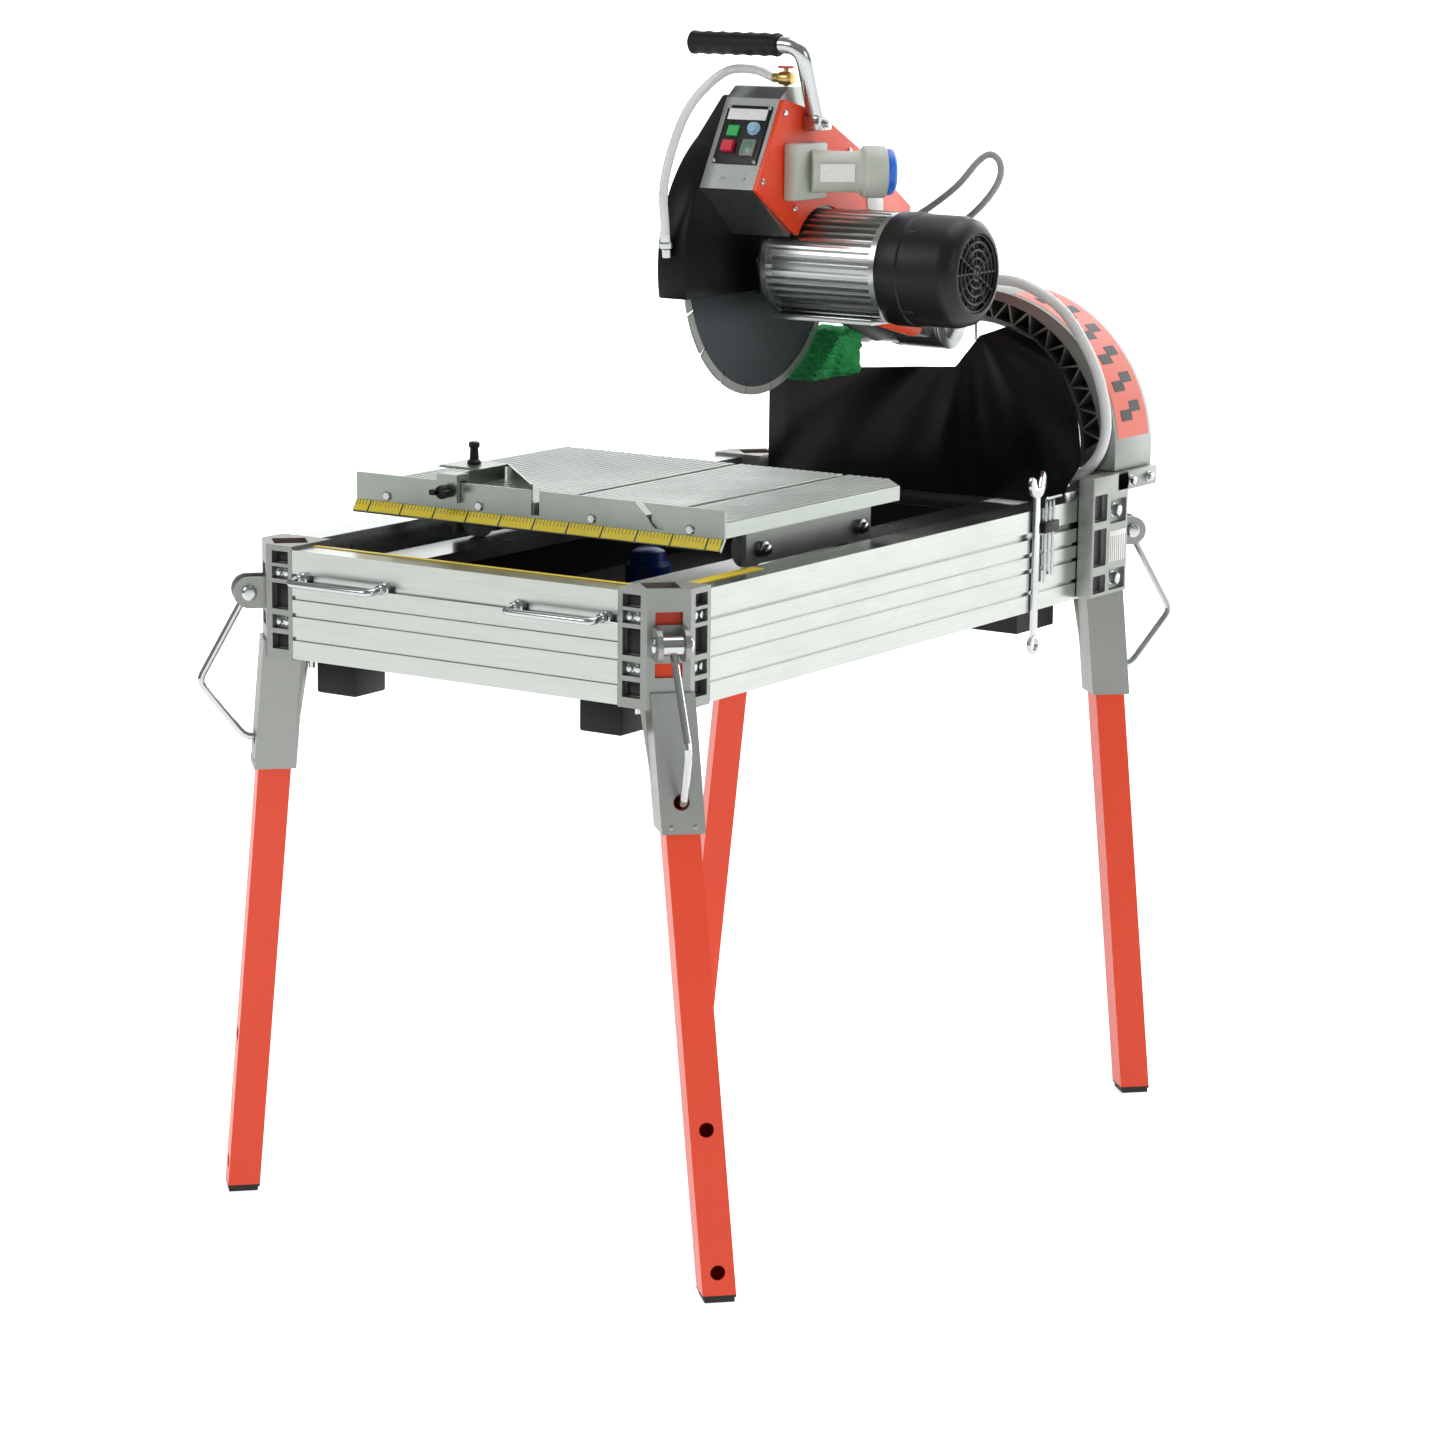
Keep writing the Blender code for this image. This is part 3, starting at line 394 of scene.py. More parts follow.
def tube(name, points, radius, sides=12):
    """A bent round bar or hose along a line of points."""
    deselect()
    bpy.ops.curve.primitive_bezier_curve_add()
    obj = named(name)
    obj.location = (0, 0, 0)
    curve = obj.data
    curve.splines.clear()
    line = curve.splines.new("POLY")
    line.points.add(len(points) - 1)
    for point, at in zip(line.points, points):
        point.co = (*at, 1)
    curve.bevel_depth = radius
    curve.bevel_resolution = max(1, sides // 4)
    curve.use_fill_caps = True
    bpy.ops.object.convert(target="MESH")
    obj = bpy.context.active_object
    tidy_faces(obj)
    return obj


def smooth_path(points, per_span=5):
    """One smooth curve through the points, as a hose lies."""
    pts = [Vector(p) for p in points]
    pts = [2 * pts[0] - pts[1], *pts, 2 * pts[-1] - pts[-2]]
    out = []
    for i in range(1, len(pts) - 2):
        p0, p1, p2, p3 = pts[i - 1 : i + 3]
        for k in range(per_span):
            t = k / per_span
            out.append(0.5 * (2 * p1 + (p2 - p0) * t + (2 * p0 - 5 * p1 + 4 * p2 - p3) * t**2
                              + (3 * p1 - p0 - 3 * p2 + p3) * t**3))
    out.append(pts[-2])
    return out


def rounded(points, radius, steps=5):
    """A line of straight runs with bent corners, as a rod is bent."""
    pts = [Vector(p) for p in points]
    out = [pts[0]]
    for before, at, after in zip(pts, pts[1:], pts[2:]):
        a = at + (before - at).normalized() * radius
        b = at + (after - at).normalized() * radius
        out += [(1 - t) ** 2 * a + 2 * t * (1 - t) * at + t**2 * b for t in (k / steps for k in range(steps + 1))]
    out.append(pts[-1])
    return out


def arc(u, v, radius, start, end, steps):
    return [
        (u + radius * math.cos(start + (end - start) * k / steps),
         v + radius * math.sin(start + (end - start) * k / steps))
        for k in range(steps + 1)
    ]


def circle(u, v, radius, sides=32):
    return arc(u, v, radius, 0, 2 * math.pi * (sides - 1) / sides, sides - 1)


def merge(name, pieces):
    """Several loose shapes as one piece."""
    deselect()
    for piece in pieces:
        piece.select_set(True)
    bpy.context.view_layer.objects.active = pieces[0]
    if len(pieces) > 1:
        bpy.ops.object.join()
    return named(name)


def cut(obj, *cutters):
    """Cuts the shapes away from obj, and removes them."""
    for cutter in cutters:
        modifier = obj.modifiers.new("cut", "BOOLEAN")
        modifier.operation = "DIFFERENCE"
        modifier.solver = "EXACT"
        modifier.use_self = True
        modifier.object = cutter
        only(obj)
        bpy.ops.object.modifier_apply(modifier=modifier.name)
        only(cutter)
        bpy.ops.object.delete()
    only(obj)
    return obj


def done(obj, body, look, replaces=(), smooth=35):
    """Places, smooths, paints and hands over a finished piece."""
    place(obj)
    bpy.ops.object.shade_smooth_by_angle(angle=math.radians(smooth))
    obj.data.materials.clear()
    obj.data.materials.append(look)
    if replaces:
        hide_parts(*replaces)
    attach(obj, body)
    return obj


def look_of_node(look, *names):
    """A better material on CAD nodes, whose shapes stay."""
    for name in names:
        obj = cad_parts[name]
        if not obj.material_slots:
            raise RuntimeError(f"{name} has no material slot")
        for holder in obj.material_slots:
            holder.material = look


def hex_bolt(name, at, way, across=0.010, height=0.006):
    """A hexagon head on its washer."""
    way = Vector(way).normalized()
    washer = rod(f"{name}_washer", at, Vector(at) + way * 0.0012, across * 0.62, 20, 0.0002)
    head = turned(f"{name}_head", Vector(at) + way * 0.0010, way, [(0, across / 2), (height, across / 2)], 6, 0.0005)
    return merge(name, [washer, head])


def panel_ways():
    """The switch panel's own directions: up its slope, and straight off it."""
    up = (PANEL_HIGH - PANEL_LOW).normalized()
    return up, Vector((0, -up.z, up.y))


def panel_point(x, s, n=0.0):
    """A point of the sloping switch panel: x, distance up it and height off it."""
    up, out = panel_ways()
    return PANEL_LOW + up * s + out * n + Vector((x, 0, 0))


def panel_block(name, x, s, n, edge=0.0005):
    """A block lying on the sloping switch panel."""
    obj = block(name, x, s, n, edge)
    up, out = panel_ways()
    obj.matrix_world = Matrix((
        (1, 0, 0, PANEL_LOW.x), (0, up.y, out.y, PANEL_LOW.y), (0, up.z, out.z, PANEL_LOW.z), (0, 0, 0, 1),
    ))
    place(obj)
    return obj


# ---------------------------------------------------------------- pieces


def make_frame():
    look_of_node(extruded("X"), "front_rail", "rear_rail")
    look_of_node(extruded("Y"), "left_rail", "right_rail", "left_track", "right_track")
    look_of_node(black(), "water_tank", "tank_sump")
    for name in CORNERS:
        look_of_node(cast(), f"corner_{name}")
        look_of_node(leg_paint(), f"leg_{name}")
        look_of_node(zinc(), f"lock_lever_{name}")
    tape = plain("warning_yellow", (0.80, 0.58, 0.01), 0.4, 60)
    for name, x, y in (("front", (-0.235, 0.235), (-0.5225, -0.5145)), ("right", (0.272, 0.290), (-0.470, -0.330))):
        done(block(f"rail_tape_{name}", x, y, RAIL_TAPE_Z, 0.0002), "stand", tape)


def make_corner_bolts():
    """Hexagon heads in the corner castings, the levers' pivot heads and the sockets' rivets."""
    # The second pair sets how far in the black painted-shade plates stand at the pockets' backs
    bolt_in, shade_back_in = 0.0092, (0.0089, 0.0074)
    for name, (sx, sy) in CORNERS.items():
        bolts = []
        for row, z in enumerate((FRAME_TOP - 0.0295, FRAME_TOP - 0.0895)):
            for k, u in enumerate((0.0515, 0.0635)):
                side = (sx * (FRAME_X - bolt_in), sy * (FRAME_Y - u), z)
                front = (sx * (FRAME_X - u), sy * (FRAME_Y - bolt_in), z)
                bolts.append(hex_bolt(f"bolt_{name}_{row}_{k}a", side, (sx, 0, 0), 0.0095, 0.005))
                bolts.append(hex_bolt(f"bolt_{name}_{row}_{k}b", front, (0, sy, 0), 0.0095, 0.005))
        done(merge(f"corner_bolts_{name}", bolts), "stand", zinc())
        # Black plates at the backs of the pockets: painted shade, standing in for the dark that falls inside them
        shade_backs = []
        for k, (low, high) in enumerate(((-0.018, -0.003), (-0.074, -0.042), (-0.123, -0.104))):
            span = (FRAME_TOP + low + 0.0015, FRAME_TOP + high - 0.0015)
            across, deep = (
                (sorted(sx * (FRAME_X - v) for v in far), sorted(sy * (FRAME_Y - v) for v in far))
                for far in ((0.0465, 0.0685), shade_back_in)
            )
            shade_backs.append(block(f"back_{k}a", across[0], deep[1], span, 0.0003))
            shade_backs.append(block(f"back_{k}b", deep[0], across[1], span, 0.0003))
        done(merge(f"pocket_shade_{name}", shade_backs), "stand", black())
        out = Vector((sx, sy, 0)).normalized()
        along = Vector((-sx, sy, 0)).normalized()
        foot = Vector((sx * (LEG_FOOT[0] - LEG_LEAN * RIVET_Z), sy * LEG_FOOT[1], RIVET_Z)) + out * 0.0256
        rivets = [
            turned(f"rivet_{k}", foot + along * k * 0.014, out, [(0, 0.0034), (0.0008, 0.0030), (0.0014, 0.0018)], 14)
            for k in (-1, 1)
        ]
        done(merge(f"socket_rivets_{name}", rivets), "stand", cast())
        pivot = Vector((sx * (FRAME_X - CHAMFER / 2), sy * (FRAME_Y - CHAMFER / 2), LEVER_PIVOT_Z)) + out * 0.020
        domed = [(0, 0.0095), (0.003, 0.0095), (0.0055, 0.006)]
        caps = [
            turned(f"cap_{name}_{k}", pivot + along * side * 0.0192, along * side, domed, 24, 0.0005)
            for k, side in enumerate((-1, 1))
        ]
        done(merge(f"pivot_caps_{name}", caps), "stand", zinc())


def make_carry_handles():
    collared = [(0, 0.0085), (0.002, 0.0085), (0.003, 0.0068), (0.010, 0.0068)]
    domed = [(0, 0.0062), (0.003, 0.0055), (0.0045, 0.0045)]
    for name, side in (("left", -1), ("right", 1)):
        a, b = sorted(side * v for v in (0.098, 0.222))
        z = FRAME_TOP - 0.033
        face = -FRAME_Y - 0.0004
        grip = face - 0.030
        path = rounded([(a, face, z), (a, grip, z - 0.002), (b, grip, z - 0.002), (b, face, z)], 0.011)
        bail = tube(f"bail_{name}", path, 0.0043, 16)
        nuts = []
        for k, x in enumerate((a, b)):
            nuts.append(turned(f"nut_{name}_{k}", (x, face, z), FORWARD, collared, 6, 0.0004))
            nuts.append(turned(f"dome_{name}_{k}", (x, face - 0.009, z), FORWARD, domed, 20))
        done(merge(f"carry_handle_{name}_rod", [bail, *nuts]), "stand", zinc(), [f"carry_handle_{name}"])


def make_rest_blocks():
    for name, side in (("left", -1), ("right", 1)):
        x = sorted((side * 0.165, side * 0.225))
        foot = block(f"rest_block_{name}_shape", x, (-0.530, -0.470), (0.655, 0.6986), 0.003)
        done(foot, "stand", rubber(), [f"rest_block_{name}"])
        stud = [(0, 0.008), (0.006, 0.008), (0.0065, 0.004), (0.016, 0.004)]
        nut = turned(f"rest_bolt_{name}", (side * 0.240, -0.52, 0.6985), (0, 0, -1), stud, 6, 0.0004)
        done(nut, "stand", zinc())


def make_pump():
    outline = [(0, 0.029), (0.006, 0.030), (0.040, 0.030), (0.046, 0.024), (0.058, 0.022), (0.062, 0.014)]
    body = turned("pump_body", (-0.100, 0, 0.7165), UP, outline, 40, 0.0008)
    look = finish("pump_blue", (0.02, 0.07, 0.42), 0.35, 0.0, 500, shade=0.1, bump=0.1)
    done(body, "stand", look, ["water_pump"])


def grooved(x0, x1, pitch):
    """A plank's end, with its fine grooves along the top."""
    top, bottom = TABLE_TOP, TABLE_TOP - TABLE_T
    count = max(1, round((x1 - x0 - 0.010) / pitch))
    step = (x1 - x0 - 0.010) / count
    line = [(x0, bottom), (x0, top - 0.001), (x0 + 0.001, top)]
    for k in range(count):
        middle = x0 + 0.005 + step * (k + 0.5)
        floor = top - 0.0024
        line += [(middle - 0.0019, top), (middle - 0.0010, floor), (middle + 0.0010, floor), (middle + 0.0019, top)]
    return line + [(x1 - 0.001, top), (x1, top - 0.001), (x1, bottom)]


def make_table():
    pitch = bpy.context.scene.saw_sizes.groove_pitch
    look = finish("table_aluminium", (0.42, 0.46, 0.43), 0.38, 0.95, 600, (1, 0.03, 1), 0.05, 0.12)
    spans = {
        "left": (-TABLE_HALF, -CUT_GAP), "middle": (CUT_GAP, TILT_CUT_X - CUT_GAP),
        "right": (TILT_CUT_X + CUT_GAP, TABLE_HALF),
    }
    for name, (x0, x1) in spans.items():
        plank = plate(f"plank_{name}", "Y", (-0.386, 0.057), grooved(x0, x1, pitch))
        if name == "right":
            corner = plate("plank_corner", "Z", (0.85, 0.92), [(0.215, 0.070), (0.290, 0.070), (0.290, -0.010)])
            cut(plank, corner)
        else:
            slots = []
            for k in range(int((x1 - x0) / 0.026)):
                x = x0 + 0.013 + k * 0.026
                slots.append(block(f"hollow_{name}_{k}", (x - 0.010, x + 0.010), (0.030, 0.09), (0.8765, 0.8850)))
            cut(plank, merge(f"hollows_{name}", slots))
        done(plank, "table", look, [f"table_plank_{name}"])
    look_of_node(cast(), "table_crossbar", "carriage_left", "carriage_right")
    look = finish("roller_nylon", (0.55, 0.57, 0.55), 0.5, 0.0, 500, shade=0.1, bump=0.1)
    tread = [
        (0, 0.012), (0.0005, 0.018), (0.001, 0.0235), (0.003, 0.025), (0.018, 0.025), (0.020, 0.0235), (0.0205, 0.018),
        (0.021, 0.010),
    ]
    for name, (sx, sy) in CORNERS.items():
        line = (ROLLER_Y[sy > 0], ROLLER_Z)
        wheel = turned(f"wheel_{name}", (sx * 0.213, *line), (-sx, 0, 0), tread, 40)
        bore = rod("wheel_bore", (sx * 0.18, *line), (sx * 0.23, *line), 0.0046, 16, 0)
        done(cut(wheel, bore), f"roller_{name}", look, [f"roller_{name}"])
        bolt = hex_bolt(f"axle_bolt_{name}", (sx * 0.2277, *line), (sx, 0, 0), 0.013, 0.005)
        shank = rod(f"axle_spacer_{name}", (sx * 0.2208, *line), (sx * 0.2280, *line), 0.0095, 24)
        done(merge(f"axle_end_{name}", [bolt, shank]), "table", zinc())


def make_fence():
    look = finish("fence_aluminium", (0.36, 0.40, 0.36), 0.30, 0.95, 500, (0.03, 1, 1), 0.07, 0.10)
    look_of_node(look, "fence", "fence_stop", "mitre_square")
    front = -0.3894
    foot = TABLE_TOP - 0.034
    lean = [
        (front - 0.0006, foot + 0.0148), (front - 0.0090, foot + 0.0026), (front - 0.0096, foot + 0.0031),
        (front - 0.0012, foot + 0.0153),
    ]
    strip = plate("ruler_strip", "X", (-TABLE_HALF + 0.002, TABLE_HALF - 0.002), lean)
    done(strip, "table", ruler())
    screws = []
    for k, x in enumerate((-0.225, -0.084, 0.083, 0.224)):
        at = (x, front - 0.0002, 0.8795)
        screws.append(turned(f"screw_{k}", at, FORWARD, [(0, 0.0062), (0.0010, 0.0062), (0.0026, 0.0045)], 24))
        screws.append(turned(f"screw_socket_{k}", at, FORWARD, [(0.002, 0.0024), (0.0030, 0.0024)], 6))
    done(merge("fence_screws", screws), "table", zinc())
    x, y, z = -0.127, -0.3978, 0.895
    necked = [(0, 0.0035), (0.004, 0.0035), (0.0045, 0.0085), (0.012, 0.0085), (0.0135, 0.006)]
    knob = turned("stop_screw", (x, y, z), FORWARD, necked, 24, 0.0004)
    wing = (y - 0.0195, y - 0.006), (z - 0.0035, z + 0.0035)
    wings = [block(f"wing_{s}", sorted((x + s * 0.004, x + s * 0.0130)), *wing, 0.0015) for s in (-1, 1)]
    done(merge("stop_knob_wing", [knob, *wings]), "stop_knob", black(), ["stop_knob"])
    low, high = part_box("mitre_knob")
    middle = ((low[0] + high[0]) / 2, (low[1] + high[1]) / 2, low[2])
    waisted = [
        (0, 0.0088), (0.003, 0.0088), (0.006, 0.0060), (0.020, 0.0052), (0.022, 0.0070), (0.0265, 0.0070),
        (0.028, 0.0050),
    ]
    cone = turned("mitre_knob_cone", middle, UP, waisted, 24)
    done(cone, "mitre_knob", black(), ["mitre_knob"])


def make_blade():
    segments = 18
    wide = 2 * math.pi / segments
    line = []
    for k in range(segments):
        a = 2 * math.pi * k / segments
        line += arc(BLADE_Y, BLADE_Z, BLADE_R, a + 0.012, a + wide - 0.012, 6)
        for turn, radius in ((-0.010, 0.161), (0, 0.158), (0.010, 0.161)):
            line.append(
                (BLADE_Y + radius * math.cos(a + wide + turn), BLADE_Z + radius * math.sin(a + wide + turn))
            )
    disc = plate("blade_disc", "X", (-0.0014, 0.0014), line)
    made, tree, shader = shader_of("blade_core_and_rim")
    spot_node = node(tree, "ShaderNodeTexCoord")
    shift = node(tree, "ShaderNodeVectorMath", operation="SUBTRACT")
    shift.inputs[1].default_value = (0, BLADE_Y, BLADE_Z)
    flat = node(tree, "ShaderNodeVectorMath", operation="MULTIPLY")
    flat.inputs[1].default_value = (0, 1, 1)
    far = node(tree, "ShaderNodeVectorMath", operation="LENGTH")
    tree.links.new(spot_node.outputs["Object"], shift.inputs[0])
    tree.links.new(shift.outputs[0], flat.inputs[0])
    tree.links.new(flat.outputs[0], far.inputs[0])
    rim = math_node(tree, "GREATER_THAN", far.outputs["Value"], 0.1645)
    core = mix_colour(tree, noise(tree, 700), (0.035, 0.045, 0.050), (0.075, 0.088, 0.095))
    grit = mix_colour(tree, noise(tree, 1500), (0.24, 0.25, 0.23), (0.55, 0.56, 0.52))
    tree.links.new(mix_colour(tree, rim, core, grit), shader.inputs["Base Color"])
    shader.inputs["Metallic"].default_value = 0.55
    shader.inputs["Roughness"].default_value = 0.48
    done(disc, "blade", made, ["blade"])
    look_of_node(zinc(), "arbor")


def guard_line(radius, flat, cut_z=1.113):
    """The guard's side view, with a round front and back under a sloping top."""
    low = math.asin((BLADE_Z - cut_z) / radius)
    front = arc(BLADE_Y, BLADE_Z, radius, math.pi + low, 0.68 * math.pi, 16)
    shade_back = arc(BLADE_Y, BLADE_Z, radius, 0.25 * math.pi, -low, 10)
    return [*front, (BLADE_Y - 0.045, flat), (BLADE_Y + 0.075, flat), *shade_back]


def make_guard():
    shell = plate("guard_shell", "X", (-0.030, 0.012), guard_line(0.190, 1.362), 0.0025)
    cavity = plate("guard_inside", "X", (-0.027, 0.009), circle(BLADE_Y, BLADE_Z, 0.1865, 64))
    hole = plate("guard_hole", "X", (0.0, 0.03), circle(BLADE_Y, BLADE_Z, 0.024, 24))
    cut(shell, cavity, hole)
    paint = finish("guard_black", (0.004, 0.004, 0.004), 0.38, 0.0, 900, shade=0.2, bump=0.15, shine=0.2)
    done(shell, "saw_head", paint, ["blade_guard"])
    bolts = [
        hex_bolt(f"guard_bolt_{k}", (-0.030, *at), LEFT, 0.010, 0.005)
        for k, at in enumerate(((-0.055, 1.125), (0.245, 1.125), (-0.040, 1.225), (0.030, 1.320)))
    ]
    done(merge("guard_bolts", bolts), "saw_head", zinc())
    ferrule = [(0, 0.0072), (0.010, 0.0072), (0.012, 0.0088), (0.018, 0.0088), (0.020, 0.0060), (0.030, 0.0060)]
    spout = turned("guard_spout", (-0.010, -0.0995, 1.196), (0, 0.12, -1), ferrule, 20)
    done(spout, "saw_head", zinc())


def make_side_plate():
    """The orange plates, the silver hub and the pins and screws of the swing arm."""
    rear = [(0.330, 1.120), (0.352, 1.082), (0.352, 1.044), (0.330, 1.040)]
    outer = plate("plate_outer", "X", PLATE_X, [
        (-0.060, 1.252), (0.002, 1.362), (0.085, 1.343), (0.180, 1.296), (0.315, 1.214), *rear, (0.190, 1.073),
        (BLADE_Y, BLADE_Z),
    ], 0.0006)
    cut(outer, plate("motor_opening", "X", (0.05, 0.12), circle(BLADE_Y, BLADE_Z, 0.0735, 56)))
    done(outer, "saw_head", orange())
    inner = plate("plate_inner", "X", (0.036, 0.0448), [
        (0.050, 1.112), (0.040, 1.152), (0.050, 1.192), (0.090, 1.214), (0.130, 1.214), (0.315, 1.150),
        (0.360, 1.105), (0.380, 1.035), (0.330, 1.030), (0.210, 1.072), (0.110, 1.086),
    ], 0.0006)
    cut(inner, plate("shaft_hole", "X", (0.02, 0.06), circle(BLADE_Y, BLADE_Z, 0.016, 24)))
    done(inner, "saw_head", finish("plate_steel", (0.16, 0.17, 0.16), 0.35, 0.9, 400))
    rims = [
        turned(f"hub_{name}", (side * 0.0305, *HUB), (side, 0, 0), [
            (0, 0.0385), (0.0015, 0.040), (long - 0.0015, 0.040), (long, 0.0385),
        ], 56)
        for name, side, long in (("right", 1, 0.0675), ("left", -1, 0.0195))
    ]
    axle = rod("hub_axle", (-0.049, *HUB), (0.0310, *HUB), 0.0100, 32)
    web = plate("hub_web", "X", (0.050, 0.088), [(0.345, 1.100), (0.400, 1.084), (0.400, 1.030), (0.345, 1.046)], 0.003)
    ring = turned("hub_ring", (0.0975, *HUB), RIGHT, [(0, 0.040), (0.0030, 0.040), (0.0045, 0.037)], 56)
    stepped = [(0, 0.026), (0.003, 0.026), (0.005, 0.022), (0.009, 0.012), (0.013, 0.010)]
    caps = [
        turned(f"hub_cap_{side}", (x, *HUB), (side, 0, 0), stepped, 40) for side, x in ((-1, -0.050), (1, 0.1005))
    ]
    silver = finish("hub_aluminium", (0.42, 0.44, 0.43), 0.30, 0.95, 500)
    casting = merge("swing_hub", [*rims, axle, web, ring, *caps])
    done(casting, "saw_head", silver, ["swing_arm"])
    screws = [
        turned(f"plate_screw_{k}", (PLATE_X[1], *at), RIGHT, [(0, 0.0042), (0.001, 0.0042), (0.0025, 0.0028)], 16)
        for k, at in enumerate((
            (-0.045, 1.262), (0.004, 1.345), (0.080, 1.330), (0.160, 1.292), (0.235, 1.246), (0.030, 1.225),
            (0.200, 1.130), (0.255, 1.185),
        ))
    ]
    done(merge("plate_screws", screws), "saw_head", zinc())
    corners = [(0.205, 1.218), (0.245, 1.196), (0.245, 1.228), (0.205, 1.250)]
    badge = plate("blank_badge", "X", (0.0981, 0.0988), corners, 0.0002)
    done(badge, "saw_head", plain("badge_white", (0.75, 0.75, 0.73), 0.4))


def make_motor():
    depth = bpy.context.scene.saw_sizes.fin_depth
    fins = 40
    line = []
    wide = 2 * math.pi / fins
    for k in range(fins):
        a = 2 * math.pi * k / fins
        for turn, radius in ((0.0, 0.070 - depth), (0.42, 0.070 - depth), (0.56, 0.0695), (0.86, 0.0695)):
            line.append((BLADE_Y + radius * math.cos(a + wide * turn), BLADE_Z + radius * math.sin(a + wide * turn)))
    metal = finish("motor_aluminium", (0.50, 0.52, 0.51), 0.24, 1.0, 500, (0.05, 1, 1), 0.10, 0.10)
    body = plate("motor_fins", "X", (0.052, 0.214), line)
    band = [(0, 0.066), (0.001, 0.0698), (0.009, 0.0698), (0.010, 0.066)]
    rings = [
        turned(f"motor_ring_{k}", (x, BLADE_Y, BLADE_Z), RIGHT, band, 64) for k, x in enumerate((0.0454, 0.205))
    ]
    foot = block("motor_foot", (0.058, 0.205), (0.045, 0.156), (1.0830, 1.0905), 0.001)
    foot_web = block("motor_foot_web", (0.070, 0.195), (0.070, 0.131), (1.085, 1.100), 0.001)
    box = block("terminal_box", (0.100, 0.160), (0.128, 0.190), (1.160, 1.216), 0.004)
    casting = merge("motor_casting", [body, *rings, foot, foot_web])
    done(casting, "saw_head", metal, ["motor_housing"])
    done(box, "saw_head", black())
    bell = [
        (0, 0.070), (0.001, 0.072), (0.030, 0.072), (0.032, 0.0705), (0.086, 0.0700), (0.100, 0.066), (0.107, 0.058),
        (0.1094, 0.053),
    ]
    cover = turned("fan_shell", (0.2154, BLADE_Y, BLADE_Z), RIGHT, bell, 64, 0.0008)
    well = turned("fan_well", (0.318, BLADE_Y, BLADE_Z), RIGHT, [(0, 0.050), (0.02, 0.050)], 48)
    cut(cover, well)
    pads = []
    for k in range(4):
        a = math.pi / 4 + k * math.pi / 2
        y, z = BLADE_Y + 0.0675 * math.cos(a), BLADE_Z + 0.0675 * math.sin(a)
        pads.append(rod(f"fan_screw_{k}", (0.238, y * 0.999, z), (0.262, y, z), 0.0042, 12))
    rings = []
    for k, radius in enumerate((0.009, 0.019, 0.029, 0.039, 0.0485)):
        deselect()
        bpy.ops.mesh.primitive_torus_add(
            major_radius=radius, minor_radius=0.0019, major_segments=40, minor_segments=8,
            location=(0.3215, BLADE_Y, BLADE_Z), rotation=(0, math.pi / 2, 0),
        )
        rings.append(named(f"grille_ring_{k}"))
    for k in range(6):
        a = k * math.pi / 6
        dy, dz = 0.049 * math.cos(a), 0.049 * math.sin(a)
        ends = [(0.3212, BLADE_Y + s * dy, BLADE_Z + s * dz) for s in (-1, 1)]
        rings.append(rod(f"grille_rib_{k}", *ends, 0.0017, 8, 0))
    done(merge("fan_cover_shell", [cover, *pads, *rings]), "saw_head", black(), ["fan_cover"])


def make_controls():
    look_of_node(finish("box_steel", (0.42, 0.44, 0.42), 0.28, 0.95, 300, (1, 1, 0.1), 0.08, 0.08), "control_box")
    x0 = 0.0124
    off = panel_point(0, 0, 1) - panel_point(0, 0, 0)
    panel = panel_block("switch_plate", (x0 + 0.008, x0 + 0.073), (0.034, 0.114), (0.0002, 0.0022), 0.0008)
    wells = [
        panel_block(f"switch_well_{k}", (x0 + 0.0182, x0 + 0.0358), (s - 0.0078, s + 0.0078), (-0.001, 0.01), 0)
        for k, s in enumerate((0.078, 0.056))
    ]
    done(cut(panel, *wells), "saw_head", black())
    look_of_node(plain("button_green", (0.02, 0.42, 0.09), 0.3, coat=0.4), "start_button")
    look_of_node(plain("button_red", (0.62, 0.02, 0.05), 0.3, coat=0.4), "stop_button")
    label = panel_block("blank_label", (x0 + 0.012, x0 + 0.069), (0.094, 0.109), (0.0023, 0.0029), 0.0002)
    done(label, "saw_head", plain("label_white", (0.78, 0.78, 0.76), 0.45))
    domed = [(0, 0.0088), (0.002, 0.0088), (0.003, 0.0070), (0.007, 0.0064), (0.008, 0.0050)]
    dial = turned("voltage_dial", panel_point(x0 + 0.056, 0.082, 0.0022), off, domed, 28)
    done(dial, "saw_head", plain("dial_blue", (0.28, 0.48, 0.66), 0.3))
    flap = panel_block("socket_flap", (x0 + 0.047, x0 + 0.066), (0.044, 0.066), (0.0022, 0.0072), 0.0014)
    window = panel_block("socket_window", (x0 + 0.050, x0 + 0.063), (0.047, 0.063), (0.0073, 0.0080), 0.0003)
    done(flap, "saw_head", finish("flap_grey", (0.22, 0.24, 0.22), 0.4, 0.0, 300))
    done(window, "saw_head", plain("window_green", (0.12, 0.24, 0.16), 0.25, 300))
    places = [(x, s, 0.0022) for s in (0.037, 0.111) for x in (0.011, 0.070)]
    places += [(x, 0.014, 0.0002) for x in (0.030, 0.062)]
    screws = [
        turned(f"panel_screw_{k}", panel_point(x0 + x, s, lift), off, [(0, 0.0028), (0.0015, 0.0022)], 14)
        for k, (x, s, lift) in enumerate(places)
    ]
    done(merge("panel_screws", screws), "saw_head", zinc())


